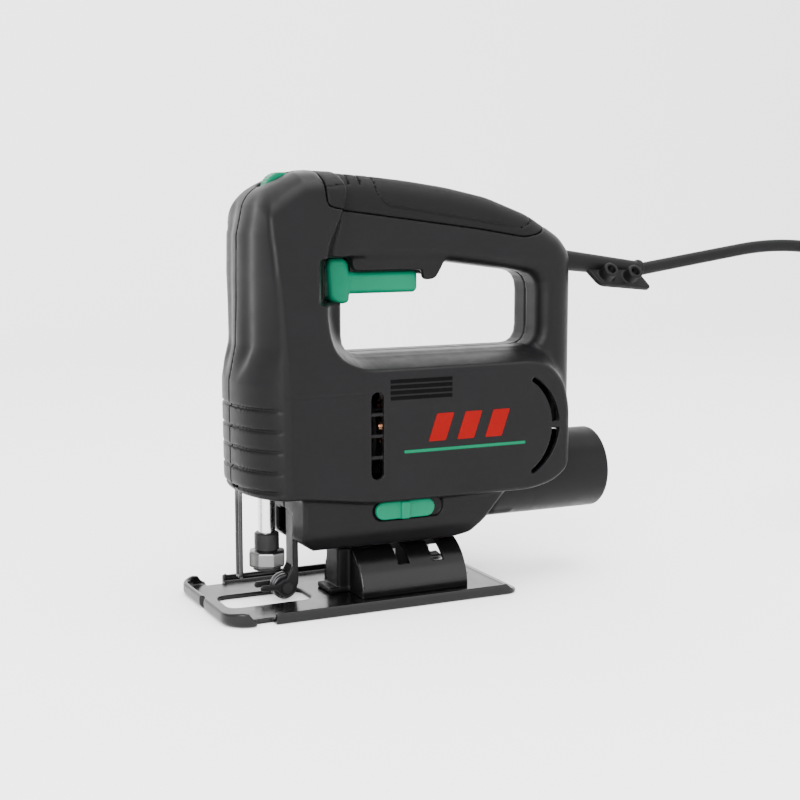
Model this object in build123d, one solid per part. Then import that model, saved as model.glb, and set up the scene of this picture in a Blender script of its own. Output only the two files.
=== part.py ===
"""Corded jigsaw with a closed D-handle.

Frame in mm: +X towards the blade (nose), +Y the tool's left side, +Z up.
Origin: centre of the sole's underside.
"""
import os
from math import atan2, cos, degrees, hypot, pi, radians, sin, sqrt, tan

from build123d import *

# ---------------------------------------------------------------- driving dimensions
SOLE_LENGTH, SOLE_WIDTH, SOLE_T = 148.0, 77.0, 2.3
SOLE_CORNER = 6.0       # plan radius of the sole's corners
FLANGE_H = 5.2

WALL = 2.6
LOOP_Y = 16.0           # half width of the handle and rear post
BODY_Y = 33.0           # half width of the motor body and the front column
LOWER_Y = 26.0          # half width of the lower housing
REAR_X = -118.5         # rear wall at the centre plane
LOWER_Z = 26.8          # underside of the lower housing

MOTOR_Z = 80.0          # armature axis, along X
GEAR_Z = 107.0          # drive gear axis, along X
PINION_TEETH, GEAR_TEETH = 9, 45
CRANK_R = 9.0           # crank throw: 18 mm stroke
CRANK_REST = -7.0       # crank pin height against the gear axis at rest
PLUNGER_X, PLUNGER_R = 41.5, 4.0

TILT_Z = 2.3            # tilt axis of the sole, along X
CRADLE_R, CRADLE_T = 23.9, 2.0
CRADLE_X = (-53.4, 2.6)
BOLT_X = (-21.0, -39.4)
BOLT_R = 2.5

TRIGGER_PIVOT = (-37.0, 157.0)
DIAL_X, DIAL_Z, DIAL_R, DIAL_W = 33.6, 193.3, 8.2, 7.6
ROLLER_X, ROLLER_Z, ROLLER_R = 33.4, 7.2, 6.2

PORT_R, PORT_BORE, PORT_Z, PORT_END = 20.45, 17.5, 51.7, -135.9

CORD_D = 6.5
COIL_X, COIL_Y = -366.0, 0.0
COIL_R_OUT, COIL_R_IN = 40.5, 33.5      # centre lines of the coil's two columns of turns
COIL_TOP = 27.4                          # centre line of its top turn
PLUG_W, PLUG_T, PLUG_L = 36.0, 17.0, 34.0
PIN_R, PIN_GAP, PIN_L = 2.4, 19.0, 19.0

GAP = 0.05              # running clearance


# ---------------------------------------------------------------- small helpers
def box(x0, x1, y0, y1, z0, z1):
    """Box between two corners."""
    block = Box(x1 - x0, y1 - y0, z1 - z0)
    return Pos((x0 + x1) / 2, (y0 + y1) / 2, (z0 + z1) / 2) * block


def rod_x(r, x0, x1, y=0.0, z=0.0):
    return Pos((x0 + x1) / 2, y, z) * Rot(0, 90, 0) * Cylinder(r, abs(x1 - x0))


def rod_y(r, y0, y1, x=0.0, z=0.0):
    return Pos(x, (y0 + y1) / 2, z) * Rot(90, 0, 0) * Cylinder(r, abs(y1 - y0))


def rod_z(r, z0, z1, x=0.0, y=0.0):
    return Pos(x, y, (z0 + z1) / 2) * Cylinder(r, abs(z1 - z0))


def side_plate(face, y0, y1):
    """Extrude a face drawn in (x, z) from y0 to y1."""
    return Pos(0, y0, 0) * extrude(Plane.XZ * face, amount=-(y1 - y0))


def front_plate(face, x0, x1):
    """Extrude a face drawn in (y, z) from x0 to x1."""
    return Pos(x0, 0, 0) * extrude(Plane.YZ * face, amount=x1 - x0)


def polygon(*points):
    return make_face(Polyline(*points, close=True))


def slot_face(x0, x1, z0, z1, r):
    """Rectangle in (x, z) with rounded corners."""
    face = RectangleRounded(x1 - x0, z1 - z0, r)
    return Pos((x0 + x1) / 2, (z0 + z1) / 2) * face


def mirror_y(part):
    return mirror(part, about=Plane.XZ)


def coil_spring(r, wire, length, turns):
    """Round-wire helical spring standing on z = 0."""
    lift = length - 2 * wire
    path = Helix(pitch=lift / turns, height=lift, radius=r)
    section = Plane(path @ 0, z_dir=path % 0) * Circle(wire)
    return Pos(0, 0, wire) * sweep(section, path=path)


# ---------------------------------------------------------------- outlines in (x, z)
def loop_outline():
    """Handle, rear post and centre part behind the motor; its front and bottom end inside the body."""
    edges = [
        Line((27.0, 58.0), (27.0, 202.4)),
        Line((27.0, 202.4), (14.0, 202.2)),
        ThreePointArc((14.0, 202.2), (-28.1, 198.2), (-71.4, 190.0)),
        ThreePointArc((-71.4, 190.0), (-94.0, 181.6), (-112.5, 170.4)),
        Line((-112.5, 170.4), (REAR_X, 162.0)),
        Line((REAR_X, 162.0), (REAR_X, 66.0)),
        Line((REAR_X, 66.0), (-103.0, 54.0)),
        Line((-103.0, 54.0), (27.0, 58.0)),
    ]
    return make_face(edges)


def body_outline():
    """Outline of the wide body: front column and motor body with its round rear cheek."""
    edges = [
        Line((56.4, 54.3), (58.9, 60.0)),
        Line((58.9, 60.0), (58.9, 101.0)),
        Line((58.9, 101.0), (55.2, 122.0)),
        Line((55.2, 122.0), (54.4, 173.0)),
        ThreePointArc((54.4, 173.0), (51.6, 187.0), (41.6, 196.3)),
        Line((41.6, 196.3), (30.3, 201.4)),
        Line((30.3, 201.4), (12.0, 198.0)),
        ThreePointArc((12.0, 198.0), (10.0, 186.0), (15.0, 172.0)),
        Line((15.0, 172.0), (15.0, 126.0)),
        ThreePointArc((15.0, 126.0), (11.5, 117.5), (3.0, 114.0)),
        Line((3.0, 114.0), (-76.0, 114.0)),
        ThreePointArc((-76.0, 114.0), (-105.5, 80.0), (-76.0, 49.6)),
        Line((-76.0, 49.6), (0.5, 49.3)),
        Line((0.5, 49.3), (36.0, 54.0)),
        Line((36.0, 54.0), (56.4, 54.3)),
    ]
    return make_face(edges)


def lower_outline():
    """Lower housing around the blower slide and the saddle."""
    return polygon((32.6, 60.0), (32.6, 32.3), (26.6, LOWER_Z + 0.6), (-13.0, LOWER_Z), (-47.7, LOWER_Z),
                   (-55.8, 28.6), (-72.0, 47.0), (-72.0, 60.0))


def handle_opening():
    """Finger opening of the D-handle."""
    ring = Polyline((7.0, 117.5), (7.0, 160.5), (-96.0, 153.4), (-96.0, 117.5), close=True)
    face = make_face(ring)
    return fillet(face.vertices(), radius=9.0)


# ---------------------------------------------------------------- housing
def bevelled_plate(face, inset, half_width, edge):
    """Plate from y = 0 to its half width, both moved inwards by an inset, with its outer edge bevelled."""
    moved = offset(face, amount=-inset) if inset else face
    reach = half_width - inset
    solid = side_plate(moved, 0, reach)
    return chamfer(solid.edges().filter_by_position(Axis.Y, reach - 0.01, reach + 0.01), length=edge)


def plan_prism(inset):
    """Rounded nose seen from above, for trimming the front column's corner."""
    y = BODY_Y + 0.2 - inset
    edges = [
        Line((-130.0, -2.0), (60.0 - inset, -2.0)),
        Line((60.0 - inset, -2.0), (60.0 - inset, 6.0)),
        ThreePointArc((60.0 - inset, 6.0), (54.6 - inset * 0.8, 22.0 - inset * 0.5), (43.0 - inset * 0.3, y)),
        Line((43.0 - inset * 0.3, y), (-130.0, y)),
        Line((-130.0, y), (-130.0, -2.0)),
    ]
    return Pos(0, 0, 20) * extrude(make_face(edges), amount=200)


def loop_block(inset, edge):
    """Handle, rear post and centre part of one half, moved inwards by an inset."""
    return bevelled_plate(loop_outline(), inset, LOOP_Y, edge)


def body_block(inset, edge):
    """Wide body of one half, moved inwards by an inset."""
    return bevelled_plate(body_outline(), inset, BODY_Y, edge) & plan_prism(inset)


def lower_block(inset):
    """Lower housing of one half with its bottom edge cut back for the tilted sole."""
    face = offset(lower_outline(), amount=-inset) if inset else lower_outline()
    solid = side_plate(face, 0, LOWER_Y - inset)
    cut = front_plate(polygon((20.5 - inset, 20.0), (20.5 - inset, LOWER_Z + inset), (LOWER_Y - inset, 36.0 + inset),
                              (40.0, 36.0 + inset), (40.0, 20.0)), -100, 60)
    return solid - cut


SCREWS = [(52.0, 73.0), (48.0, 175.0), (-46.0, 186.0), (-92.0, 173.0), (-111.0, 108.0), (-50.0, 50.0), (6.0, 50.0)]
BOSS_R = 3.0


def vents():
    """Cooling slot behind the gear case and the two arc slots around the rear cheek."""
    cutters = [side_plate(slot_face(-4.2, 2.0, 61.0, 101.4, 2.9), BODY_Y - 5, BODY_Y + 1)]
    for start, span in ((-58.0, 55.0), (3.0, 55.0)):
        ring = Circle(28.3) - Circle(24.3)
        wedge = polygon((0, 0), *[(60 * cos(radians(start + k * span / 4)), 60 * sin(radians(start + k * span / 4)))
                                  for k in range(5)])
        arc = Pos(-70.1, 80.6) * Rot(0, 0, 180) * (ring & wedge)
        cutters.append(side_plate(arc, BODY_Y - 5, BODY_Y + 1))
    return cutters


def vent_ribs():
    """Three cross ribs inside the cooling slot."""
    return [box(-4.6, 2.4, BODY_Y - 2.6, BODY_Y - 1.2, z - 0.9, z + 0.9) for z in (71.0, 81.0, 91.0)]


def nose_grooves():
    """Five shallow finger grooves round the nose."""
    skin = plan_prism(-1.0) - plan_prism(1.6)
    return [skin & box(43.5, 62.0, -1.0, 40.0, 95.5 - 9.4 * k - 0.8, 95.5 - 9.4 * k + 0.8) for k in range(5)]


def inner_ribs():
    """Inner webs: rear bearing seat, bearing plate and stator rests, pin bosses, cord clamp shelf."""
    return [
        box(-94.0, -88.0, 0, 32.0, 50.0, 110.0) - rod_x(9.5, -95, -87, 0, MOTOR_Z),
        box(4.0, 11.0, 22.0, 32.0, 60.0, 100.0),
        box(-60.0, -57.0, 28.0, 32.0, 60.0, 100.0),
        box(-30.0, -27.0, 28.0, 32.0, 60.0, 100.0),
        box(-40.5, -33.5, 9.3, 15.0, 154.0, 160.8),
        box(-31.0, -26.0, 8.0, 15.0, 172.0, 188.0),
        box(-2.0, 3.0, 8.0, 15.0, 174.0, 190.0),
        box(-112.0, -97.0, 0, 15.0, 156.0, 160.6),
        box(-70.0, -58.0, 5.0, 15.0, 158.0, 167.0),
    ]


def housing_half():
    """One clamshell half on the +Y side, before its own openings."""
    outer = loop_block(0, 7.0) + body_block(0, 5.0) + lower_block(0)
    inner = loop_block(WALL, 4.0) + body_block(WALL, 4.0) + lower_block(WALL)
    rim = side_plate(offset(handle_opening(), amount=WALL), 0, LOOP_Y)
    bosses = [rod_y(BOSS_R, 0, 40, x, z) for x, z in SCREWS]
    half = outer - inner
    for rib in [rim, pocket_wall()] + inner_ribs() + bosses:
        half += rib & outer
    half += skirt()
    half -= opening_cut()
    for cutter in vents() + nose_grooves():
        half -= cutter
    for rib in vent_ribs():
        half += rib
    for cutter in shared_openings():
        half -= cutter
    return half


def opening_cut():
    """Finger opening with its rim bevelled, and the notch beside the trigger's shield."""
    flare = Pos(0, LOOP_Y - 4.0, 0) * extrude(Plane.XZ * handle_opening(), amount=-20.0, taper=-45)
    notch = box(0.0, 15.4, 9.0, 40.0, 139.3, 163.4)
    return side_plate(handle_opening(), -1, BODY_Y + 1) + (flare & box(-120, 20, 0, LOOP_Y + 0.5, 100, 180)) + notch


def pocket_wall():
    """Walls of the pocket in the front column that the trigger's shield moves in."""
    return box(5.2, 17.2, 0, 11.6, 136.6, 173.0) + box(15.4, 17.2, 11.0, 15.9, 137.0, 166.0)


def skirt():
    """Walls under the handle: one behind the trigger, cheeks that hold its pin, and one along each side of it."""
    rear = box(-45.5, -41.2, 0, 11.5, 150.5, 161.0) + box(-41.3, -34.2, 9.2, 11.5, 150.5, 161.0)
    return rear + box(-34.3, 2.0, 9.2, 11.5, 155.6, 162.0)


def shared_openings():
    """Openings that both halves share."""
    trigger_pocket = box(-1.0, 15.4, -1, 9.8, 138.6, 171.0)
    trigger_slot = box(-41.2, 5.0, -1, 9.2, 148.0, 161.5)
    trigger_room = box(-21.0, 0.0, -1, 7.2, 158.0, 165.0)
    nose_hole = box(33.0, 50.0, -1, 8.0, 50.0, 60.0)
    guard_hole = rod_z(1.0, 50.0, 58.0, 55.2, 2.25)
    duct_mouth = box(28.0, 34.0, -1, 9.9, 32.5, 46.2)
    bracket_gap = box(25.0, 34.0, -1, 5.2, 25.0, 57.6)
    saddle_gap = box(-46.0, 22.4, -1, 9.3, 20.0, 36.0)
    sleeve_hole = sleeve_plane() * Cylinder(5.35, 40)
    screw_holes = [rod_y(1.55, -1, 11.0, x, z) for x, z in SCREWS]
    clamp_hole = rod_z(1.55, 155.0, 162.0, -104.0, 7.6)
    pin_hole = rod_y(1.5, -1, 10.5, *TRIGGER_PIVOT)
    return [trigger_pocket, trigger_slot, trigger_room, nose_hole, guard_hole, duct_mouth, bracket_gap, saddle_gap,
            port_envelope(), sleeve_hole, dial_cut(), clamp_hole, pin_hole] + screw_holes


def dial_cut():
    """Oblong window for the thumbwheel in the sloping top."""
    slope = degrees(atan2(201.6 - 196.3, 41.6 - 30.3))
    return Pos(36.4, 0, 199.2) * Rot(0, slope, 0) * Box(17.0, 2 * 4.6, 12.0)


def handle_skin(side):
    """Soft grip skin on the top of the handle, 1.2 mm thick."""
    region = side_plate(polygon((11.5, 212.0), (9.0, 188.5), (5.0, 187.0), (-58.0, 176.0), (-92.0, 170.5),
                                (-112.0, 175.0), (-112.0, 212.0)), 0.1, 30)
    shell = loop_block(0, 7.0) - loop_block(1.2, 6.0)
    return (shell & region) if side > 0 else mirror_y(shell & region)


def slider_recess():
    """Recess and stem slot of the blower slide in the left side of the lower housing."""
    recess = side_plate(slot_face(-38.4, -1.9, 39.6, 49.3, 4.7), LOWER_Y - 1.4, LOWER_Y + 8)
    stem = box(-26.5, -13.5, 20, LOWER_Y + 1, 42.0, 47.0)
    return [recess, stem]


def screw_counterbores():
    return [rod_y(3.1, -40.0, -9.0, x, z) for x, z in SCREWS]


def housing_left(base):
    half = base
    for cutter in slider_recess():
        half -= cutter
    return half - handle_skin(1)


def housing_right(base):
    half = mirror_y(base)
    for cutter in screw_counterbores():
        half -= cutter
    return half - handle_skin(-1)


def housing_screws():
    """Self-tapping screws from the right side."""
    group = []
    for x, z in SCREWS:
        screw = rod_y(1.55, -9.0, 10.0, x, z) + rod_y(3.0, -11.4, -9.0, x, z)
        screw -= rod_y(1.2, -12.0, -10.2, x, z)
        group.append(screw)
    return Compound(children=group)


# ---------------------------------------------------------------- gear case and motor
def gear_case():
    """Aluminium casting: gear wall, two bush blocks, legs and the saddle over the cradle."""
    wall = box(12.0, 20.0, -22.0, 22.0, 52.0, 110.0) + box(12.0, 20.0, -12.5, 12.5, 110.0, 143.0)
    wall -= box(11.0, 17.4, -13.0, 13.0, 135.0, 144.0)
    low = box(20.0, 51.0, -9.5, 9.5, 57.0, 68.0)
    high = box(20.0, 51.0, -9.5, 9.5, 133.0, 143.0)
    legs = box(12.0, 20.0, 10.4, 16.0, 34.0, 52.0) + box(12.0, 20.0, -16.0, -10.4, 34.0, 52.0)
    bar = box(12.0, 20.0, -16.0, 16.0, 30.4, 35.4)
    tongue = box(-45.0, 22.0, -9.0, 9.0, 20.0, 35.4)
    body = wall + low + high + legs + bar + tongue
    body -= rod_x(CRADLE_R + GAP, -60.0, 40.0, 0, TILT_Z)
    body -= rod_x(7.0, 11.0, 21.0, 0, MOTOR_Z)
    body -= rod_x(4.0, 11.0, 21.0, 0, GEAR_Z)
    for z0, z1 in ((56.0, 69.0), (132.0, 144.0)):
        body -= rod_z(6.0, z0, z1, PLUNGER_X)
    for x in BOLT_X:
        body -= rod_z(BOLT_R, 20.0, 34.5, x)
    return body


def bearing_plate():
    plate = box(3.0, 12.0, -22.0, 22.0, 60.0, 100.0)
    return plate - rod_x(11.0, 4.0, 12.5, 0, MOTOR_Z) - rod_x(8.0, 2.0, 5.0, 0, MOTOR_Z)


def ball_bearing(outer_r, inner_r, x0, x1):
    """Closed ball bearing as two rings and a shield between them."""
    mid = (outer_r + inner_r) / 2
    ring = rod_x(outer_r, x0, x1, 0, MOTOR_Z) - rod_x(inner_r, x0 - 1, x1 + 1, 0, MOTOR_Z)
    groove = rod_x(mid + 1.2, x0 - 1, x0 + 0.6, 0, MOTOR_Z) - rod_x(mid - 1.2, x0 - 2, x0 + 1, 0, MOTOR_Z)
    return ring - groove


def stator_core():
    """Two-pole lamination stack with its winding windows."""
    stack = box(-62.0, -24.0, -28.0, 28.0, 54.0, 106.0)
    for s in (-1, 1):
        y0, y1 = sorted((s * 13.0, s * 26.0))
        stack -= box(-63.0, -23.0, y0, y1, 62.0, 98.0)
    return stack - rod_x(16.6, -63.0, -23.0, 0, MOTOR_Z)


def field_coils():
    """One coil round each pole."""
    ring = box(-68.0, -18.0, -25.5, 25.5, 91.6, 97.4) - box(-62.3, -23.7, -13.2, 13.2, 90.0, 99.0)
    return Compound(children=[ring, Pos(0, 0, 2 * MOTOR_Z) * mirror(ring, about=Plane.XY)])


def armature_shaft():
    mid = rod_x(4.0, -86.0, 20.0, 0, MOTOR_Z)
    return mid + rod_x(3.0, -95.0, -86.0, 0, MOTOR_Z) + rod_x(3.0, 20.0, 31.0, 0, MOTOR_Z)


def armature_core():
    core = rod_x(16.0, -62.0, -24.0, 0, MOTOR_Z) - rod_x(4.0, -63.0, -23.0, 0, MOTOR_Z)
    for k in range(12):
        slot = Pos(-43.0, 0, MOTOR_Z) * Rot(30 * k, 0, 0) * Pos(0, 0, 14.6) * Box(40, 2.4, 3.4)
        core -= slot
    return core


def armature_windings():
    ends = []
    for x0, x1 in ((-70.0, -62.0), (-24.0, -16.0)):
        ring = rod_x(11.2, x0, x1, 0, MOTOR_Z) - rod_x(4.0, x0 - 1, x1 + 1, 0, MOTOR_Z)
        ends.append(chamfer(ring.edges().filter_by(GeomType.CIRCLE).sort_by(SortBy.RADIUS)[-2:], 2.0))
    return Compound(children=ends)


def commutator():
    drum = rod_x(11.0, -84.0, -72.0, 0, MOTOR_Z) - rod_x(4.0, -85.0, -71.0, 0, MOTOR_Z)
    for k in range(24):
        drum -= Pos(-78.0, 0, MOTOR_Z) * Rot(15 * k + 7.5, 0, 0) * Pos(0, 0, 10.8) * Box(13, 0.5, 1.0)
    return drum


def cooling_fan():
    hub = rod_x(8.0, -13.0, -3.0, 0, MOTOR_Z) + rod_x(24.0, -4.6, -3.0, 0, MOTOR_Z)
    for k in range(12):
        blade = Pos(-8.4, 0, MOTOR_Z) * Rot(30 * k, 0, 0) * Pos(0, 0, 15.4) * Box(7.8, 1.2, 16.0)
        hub += blade
    return hub - rod_x(4.0, -14.0, -2.0, 0, MOTOR_Z)


def toothed_face(teeth, root_r, tip_r, root_frac, tip_frac, turn):
    """Spur gear outline with straight-flanked teeth, the first centred at an angle in degrees."""
    pitch = 2 * pi / teeth
    points = []
    for k in range(teeth):
        mid = radians(turn) + k * pitch
        for r, frac in ((root_r, -root_frac), (tip_r, -tip_frac), (tip_r, tip_frac), (root_r, root_frac)):
            points.append((r * cos(mid + frac * pitch), r * sin(mid + frac * pitch)))
    return polygon(*points)


def motor_pinion():
    face = Pos(0, MOTOR_Z) * toothed_face(PINION_TEETH, 3.6, 5.3, 0.27, 0.1, 90 + 180 / PINION_TEETH)
    return front_plate(face, 22.0, 30.0) - rod_x(3.0, 21.0, 31.5, 0, MOTOR_Z)


def drive_gear():
    face = Pos(0, GEAR_Z) * toothed_face(GEAR_TEETH, 21.5, 23.1, 0.26, 0.14, -90)
    wheel = front_plate(face, 22.0, 30.0) - rod_x(4.0 + GAP, 21.0, 31.0, 0, GEAR_Z)
    web = rod_x(19.0, 28.5, 31.0, 0, GEAR_Z) - rod_x(14.5, 28.0, 31.5, 0, GEAR_Z)
    return wheel - web - crank_pin()


def crank_pin():
    """Crank pin on the drive gear, ending short of the yoke plate."""
    y = sqrt(CRANK_R ** 2 - CRANK_REST ** 2)
    return rod_x(2.5, 24.0, 33.6, y, GEAR_Z + CRANK_REST)


def gear_shaft():
    return rod_x(4.0, 12.0, 30.6, 0, GEAR_Z)


def plunger_bush(z0, z1):
    return rod_z(6.0, z0, z1, PLUNGER_X) - rod_z(PLUNGER_R + GAP, z0 - 1, z1 + 1, PLUNGER_X)


def plunger_seal():
    """Felt ring in the nose opening under the lower bush."""
    return rod_z(7.4, 55.0, 57.0, PLUNGER_X) - rod_z(PLUNGER_R + 0.08, 54.0, 58.0, PLUNGER_X)


def brush_holders():
    group = []
    for s in (-1, 1):
        y0, y1 = sorted((s * 12.0, s * 27.0))
        sleeve = box(-82.6, -73.4, y0, y1, 75.6, 84.4)
        cut = box(-81.0, -75.0, *sorted((s * 11.0, s * 26.0)), 77.5, 82.5)
        group.append(sleeve - cut)
    return Compound(children=group)


def carbon_brushes():
    group = []
    for s in (-1, 1):
        y0, y1 = sorted((s * 11.0, s * 20.0))
        block = box(-80.9, -75.1, y0, y1, 77.6, 82.4)
        group.append(block - rod_x(11.05, -84.5, -71.5, 0, MOTOR_Z))
    return Compound(children=group)


def brush_springs():
    spring = coil_spring(1.7, 0.25, 6.0, 5)
    left = Pos(-78.0, 26.0, MOTOR_Z) * Rot(90, 0, 0) * spring
    return Compound(children=[left, mirror_y(left)])


# ---------------------------------------------------------------- plunger and blade clamp
def plunger_bar():
    return chamfer(rod_z(PLUNGER_R, 31.0, 152.0, PLUNGER_X).edges().sort_by(Axis.Z)[-1:], 0.8)


def plunger_yoke():
    """Slotted cross yoke clamped on the bar."""
    mid = GEAR_Z + CRANK_REST
    plate = box(34.0, 37.6, -15.0, 15.0, mid - 6.0, mid + 6.0)
    hub = rod_z(7.0, mid - 6.0, mid + 6.0, PLUNGER_X) + box(36.0, PLUNGER_X, -6.5, 6.5, mid - 6.0, mid + 6.0)
    slot = box(33.0, 36.4, -12.0, 12.0, mid - 2.7, mid + 2.7)
    return plate + hub - slot - rod_z(PLUNGER_R, mid - 7, mid + 7, PLUNGER_X)


def clamp_body():
    """Collar and core of the blade clamp with the slot for a blade shank."""
    collar = rod_z(5.85, 26.0, 34.0, PLUNGER_X)
    core = rod_z(5.0, 16.0, 26.0, PLUNGER_X)
    slot = box(PLUNGER_X - 4.0, PLUNGER_X + 4.0, -0.9, 0.9, 15.0, 30.0)
    return chamfer((collar + core).edges().sort_by(Axis.Z)[-1:], 0.6) - slot - rod_z(PLUNGER_R, 31.0, 35.0, PLUNGER_X)


def clamp_ring():
    """Eight-sided twist ring of the blade clamp."""
    face = RegularPolygon(radius=8.9, side_count=8)
    ring = Pos(PLUNGER_X, 0, 17.8) * extrude(face, amount=7.6)
    return chamfer(ring.edges().group_by(Axis.Z)[-1], 0.6) - rod_z(5.0 + GAP, 17.0, 26.0, PLUNGER_X)


def clamp_circlip():
    return rod_z(6.6, 16.4, 17.6, PLUNGER_X) - rod_z(5.0, 16.0, 18.0, PLUNGER_X)


def blade_guard_wire():
    """Hairpin wire guard in front of the blade."""
    path = FilletPolyline((55.2, 2.25, 57.0), (55.2, 2.25, 14.2), (55.2, -2.25, 14.2), (55.2, -2.25, 57.0),
                          radius=2.1)
    return sweep(Plane(path @ 0, z_dir=path % 0) * Circle(1.0), path=path)


# ---------------------------------------------------------------- roller
def roller_bracket():
    """Arm down from the gear case with a fork round the guide roller."""
    group = box(27.4, 30.6, -5.0, 5.0, 15.0, 57.0)
    for s in (-1, 1):
        y0, y1 = sorted((s * 3.4, s * 5.0))
        group += side_plate(polygon((27.4, 20.0), (27.4, 8.0), (30.5, 3.2), (36.0, 3.2), (38.0, 7.0), (36.0, 11.0),
                                    (30.6, 20.0)), y0, y1)
    group -= box(20.0, 40.0, -3.4, 3.4, 0.0, 17.0)
    return group - rod_y(1.5, -8, 8, ROLLER_X, ROLLER_Z)


def roller_pin():
    return rod_y(1.5, -5.0, 5.0, ROLLER_X, ROLLER_Z) + rod_y(2.6, 5.0, 6.4, ROLLER_X, ROLLER_Z)


def guide_roller():
    """Hardened roller with a groove for the blade's back."""
    wheel = rod_y(ROLLER_R, -3.0, 3.0, ROLLER_X, ROLLER_Z) - rod_y(1.5 + GAP, -4, 4, ROLLER_X, ROLLER_Z)
    groove = rod_y(ROLLER_R + 1, -0.7, 0.7, ROLLER_X, ROLLER_Z) - rod_y(ROLLER_R - 1.2, -1, 1, ROLLER_X, ROLLER_Z)
    return wheel - groove


# ---------------------------------------------------------------- sole
def sole_plate():
    """Pressed steel sole: side flanges, blade opening, cradle opening and fence slots."""
    half_l, half_w = SOLE_LENGTH / 2, SOLE_WIDTH / 2
    plate = extrude(RectangleRounded(SOLE_LENGTH, SOLE_WIDTH, SOLE_CORNER), amount=SOLE_T)
    for s in (-1, 1):
        y0, y1 = sorted((s * (half_w - SOLE_T), s * half_w))
        plate += box(-half_l + SOLE_CORNER, 51.0, y0, y1, 0.0, FLANGE_H)
        plate += box(61.0, half_l - SOLE_CORNER, y0, y1, 0.0, 7.2)
        plate -= box(51.2, 60.4, *sorted((s * (half_w - 5.0), s * (half_w + 1))), -1.0, 9.0)
    edge = half_w - SOLE_CORNER
    plate += box(half_l - SOLE_T, half_l, -edge, edge, 0.0, 5.8)
    plate -= Pos(half_l, 0, 0) * Rot(0, 0, 45) * Box(4.2, 4.2, 20)
    blade = slot_face(22.0, 64.0, -11.0, 11.0, 5.0)
    plate -= Pos(0, 0, -1) * extrude(blade, amount=6)
    cradle = slot_face(-50.0, -1.0, -17.0, 17.0, 3.0)
    plate -= Pos(0, 0, -1) * extrude(cradle, amount=6)
    return plate - rod_z(3.2, -1, 5, -62.0, 0)


def tilt_cradle():
    """Half-round cradle on the sole with slots for the two bolts, and its front foot."""
    x0, x1 = CRADLE_X
    shell = rod_x(CRADLE_R, x0, x1, 0, TILT_Z) - rod_x(CRADLE_R - CRADLE_T, x0 - 1, x1 + 1, 0, TILT_Z)
    shell -= box(x0 - 1, x1 + 1, -40, 40, TILT_Z - 40, TILT_Z)
    for x in BOLT_X:
        reach = tan(radians(54.0)) * 40.0
        fan = front_plate(polygon((0, TILT_Z), (reach, TILT_Z + 40), (-reach, TILT_Z + 40)), x - 2.9, x + 2.9)
        shell -= fan
    end_wall = rod_x(CRADLE_R, x1 - CRADLE_T, x1, 0, TILT_Z) & box(0, 10, -40, 40, TILT_Z, 40)
    foot = box(x1 - CRADLE_T, 8.6, -8.0, 8.0, SOLE_T, 24.2) + box(x1 - CRADLE_T, 13.0, -8.0, 8.0, SOLE_T, 5.0)
    return shell + end_wall + foot


def sole_clamp_plate():
    """Curved plate inside the cradle that the sole bolts pull up against it."""
    inner = CRADLE_R - CRADLE_T - GAP
    x0, x1 = BOLT_X[1] - 7.0, BOLT_X[0] + 7.0
    ring = rod_x(inner, x0, x1, 0, TILT_Z) - rod_x(inner - 2.6, x0 - 1, x1 + 1, 0, TILT_Z)
    plate = ring & box(x0, x1, -6.0, 6.0, 10.0, 30.0)
    for x in BOLT_X:
        plate -= rod_z(BOLT_R, 0, 40, x)
    return plate


def sole_bolts():
    """Two socket-head bolts from below through the clamp plate into the saddle."""
    seat = TILT_Z + sqrt((CRADLE_R - CRADLE_T - GAP - 2.6) ** 2 - 16.0)
    group = []
    for x in BOLT_X:
        bolt = rod_z(BOLT_R, seat - 4.0, 34.0, x) + rod_z(4.0, seat - 5.0, seat, x)
        socket = Pos(x, 0, seat - 5.5) * extrude(RegularPolygon(radius=2.3, side_count=6), amount=3.4)
        group.append(bolt - socket)
    return Compound(children=group)


# ---------------------------------------------------------------- dust extraction
PORT_FULL = -97.0        # full round of the outlet ends here, ahead of it the roof is flat under the motor
PORT_ROOF = 66.5
PORT_STEP = -121.9       # outside the housing the outlet is full size, ahead of this step it is a little smaller
PORT_NOSE = -69.0        # under the motor the lower half of the outlet runs on to here
NECK_X, NECK_Y, NECK_Z = (-84.0, -57.0), 11.8, (34.2, 49.4)


def duct_envelope():
    return box(-80.0, 26.0, -9.4, 9.4, 36.4, 46.8)


def port_envelope():
    """Outside of the outlet: round end, flat-roofed middle and the neck round the duct."""
    inner_r = PORT_R - 0.15
    middle = rod_x(inner_r, PORT_FULL, -80.0, 0, PORT_Z) & box(PORT_FULL, -80.0, -30, 30, 0, PORT_ROOF)
    tube = rod_x(PORT_R, PORT_END, PORT_STEP, 0, PORT_Z) + rod_x(inner_r, PORT_STEP, PORT_FULL, 0, PORT_Z)
    nose = rod_x(inner_r, -80.1, PORT_NOSE, 0, PORT_Z) & box(-81, 0, -30, 30, 0, 49.3)
    return tube + middle + nose + box(*NECK_X, -NECK_Y, NECK_Y, *NECK_Z)


def dust_port():
    """Round outlet for a hose with a neck into the lower housing."""
    bore = rod_x(PORT_BORE, PORT_END - 1, PORT_FULL - WALL, 0, PORT_Z)
    bore += rod_x(PORT_BORE - 0.5, PORT_FULL - 4, -82.5, 0, PORT_Z) & box(-110, -80, -30, 30, 0, PORT_ROOF - WALL)
    return port_envelope() - bore - box(-83.0, -79.0, -8.2, 8.2, 37.6, 45.6) - duct_envelope()


def dust_duct():
    """Flat channel from behind the blade to the outlet."""
    return duct_envelope() - box(-81.0, 31.0, -8.2, 8.2, 37.6, 45.6)


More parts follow.
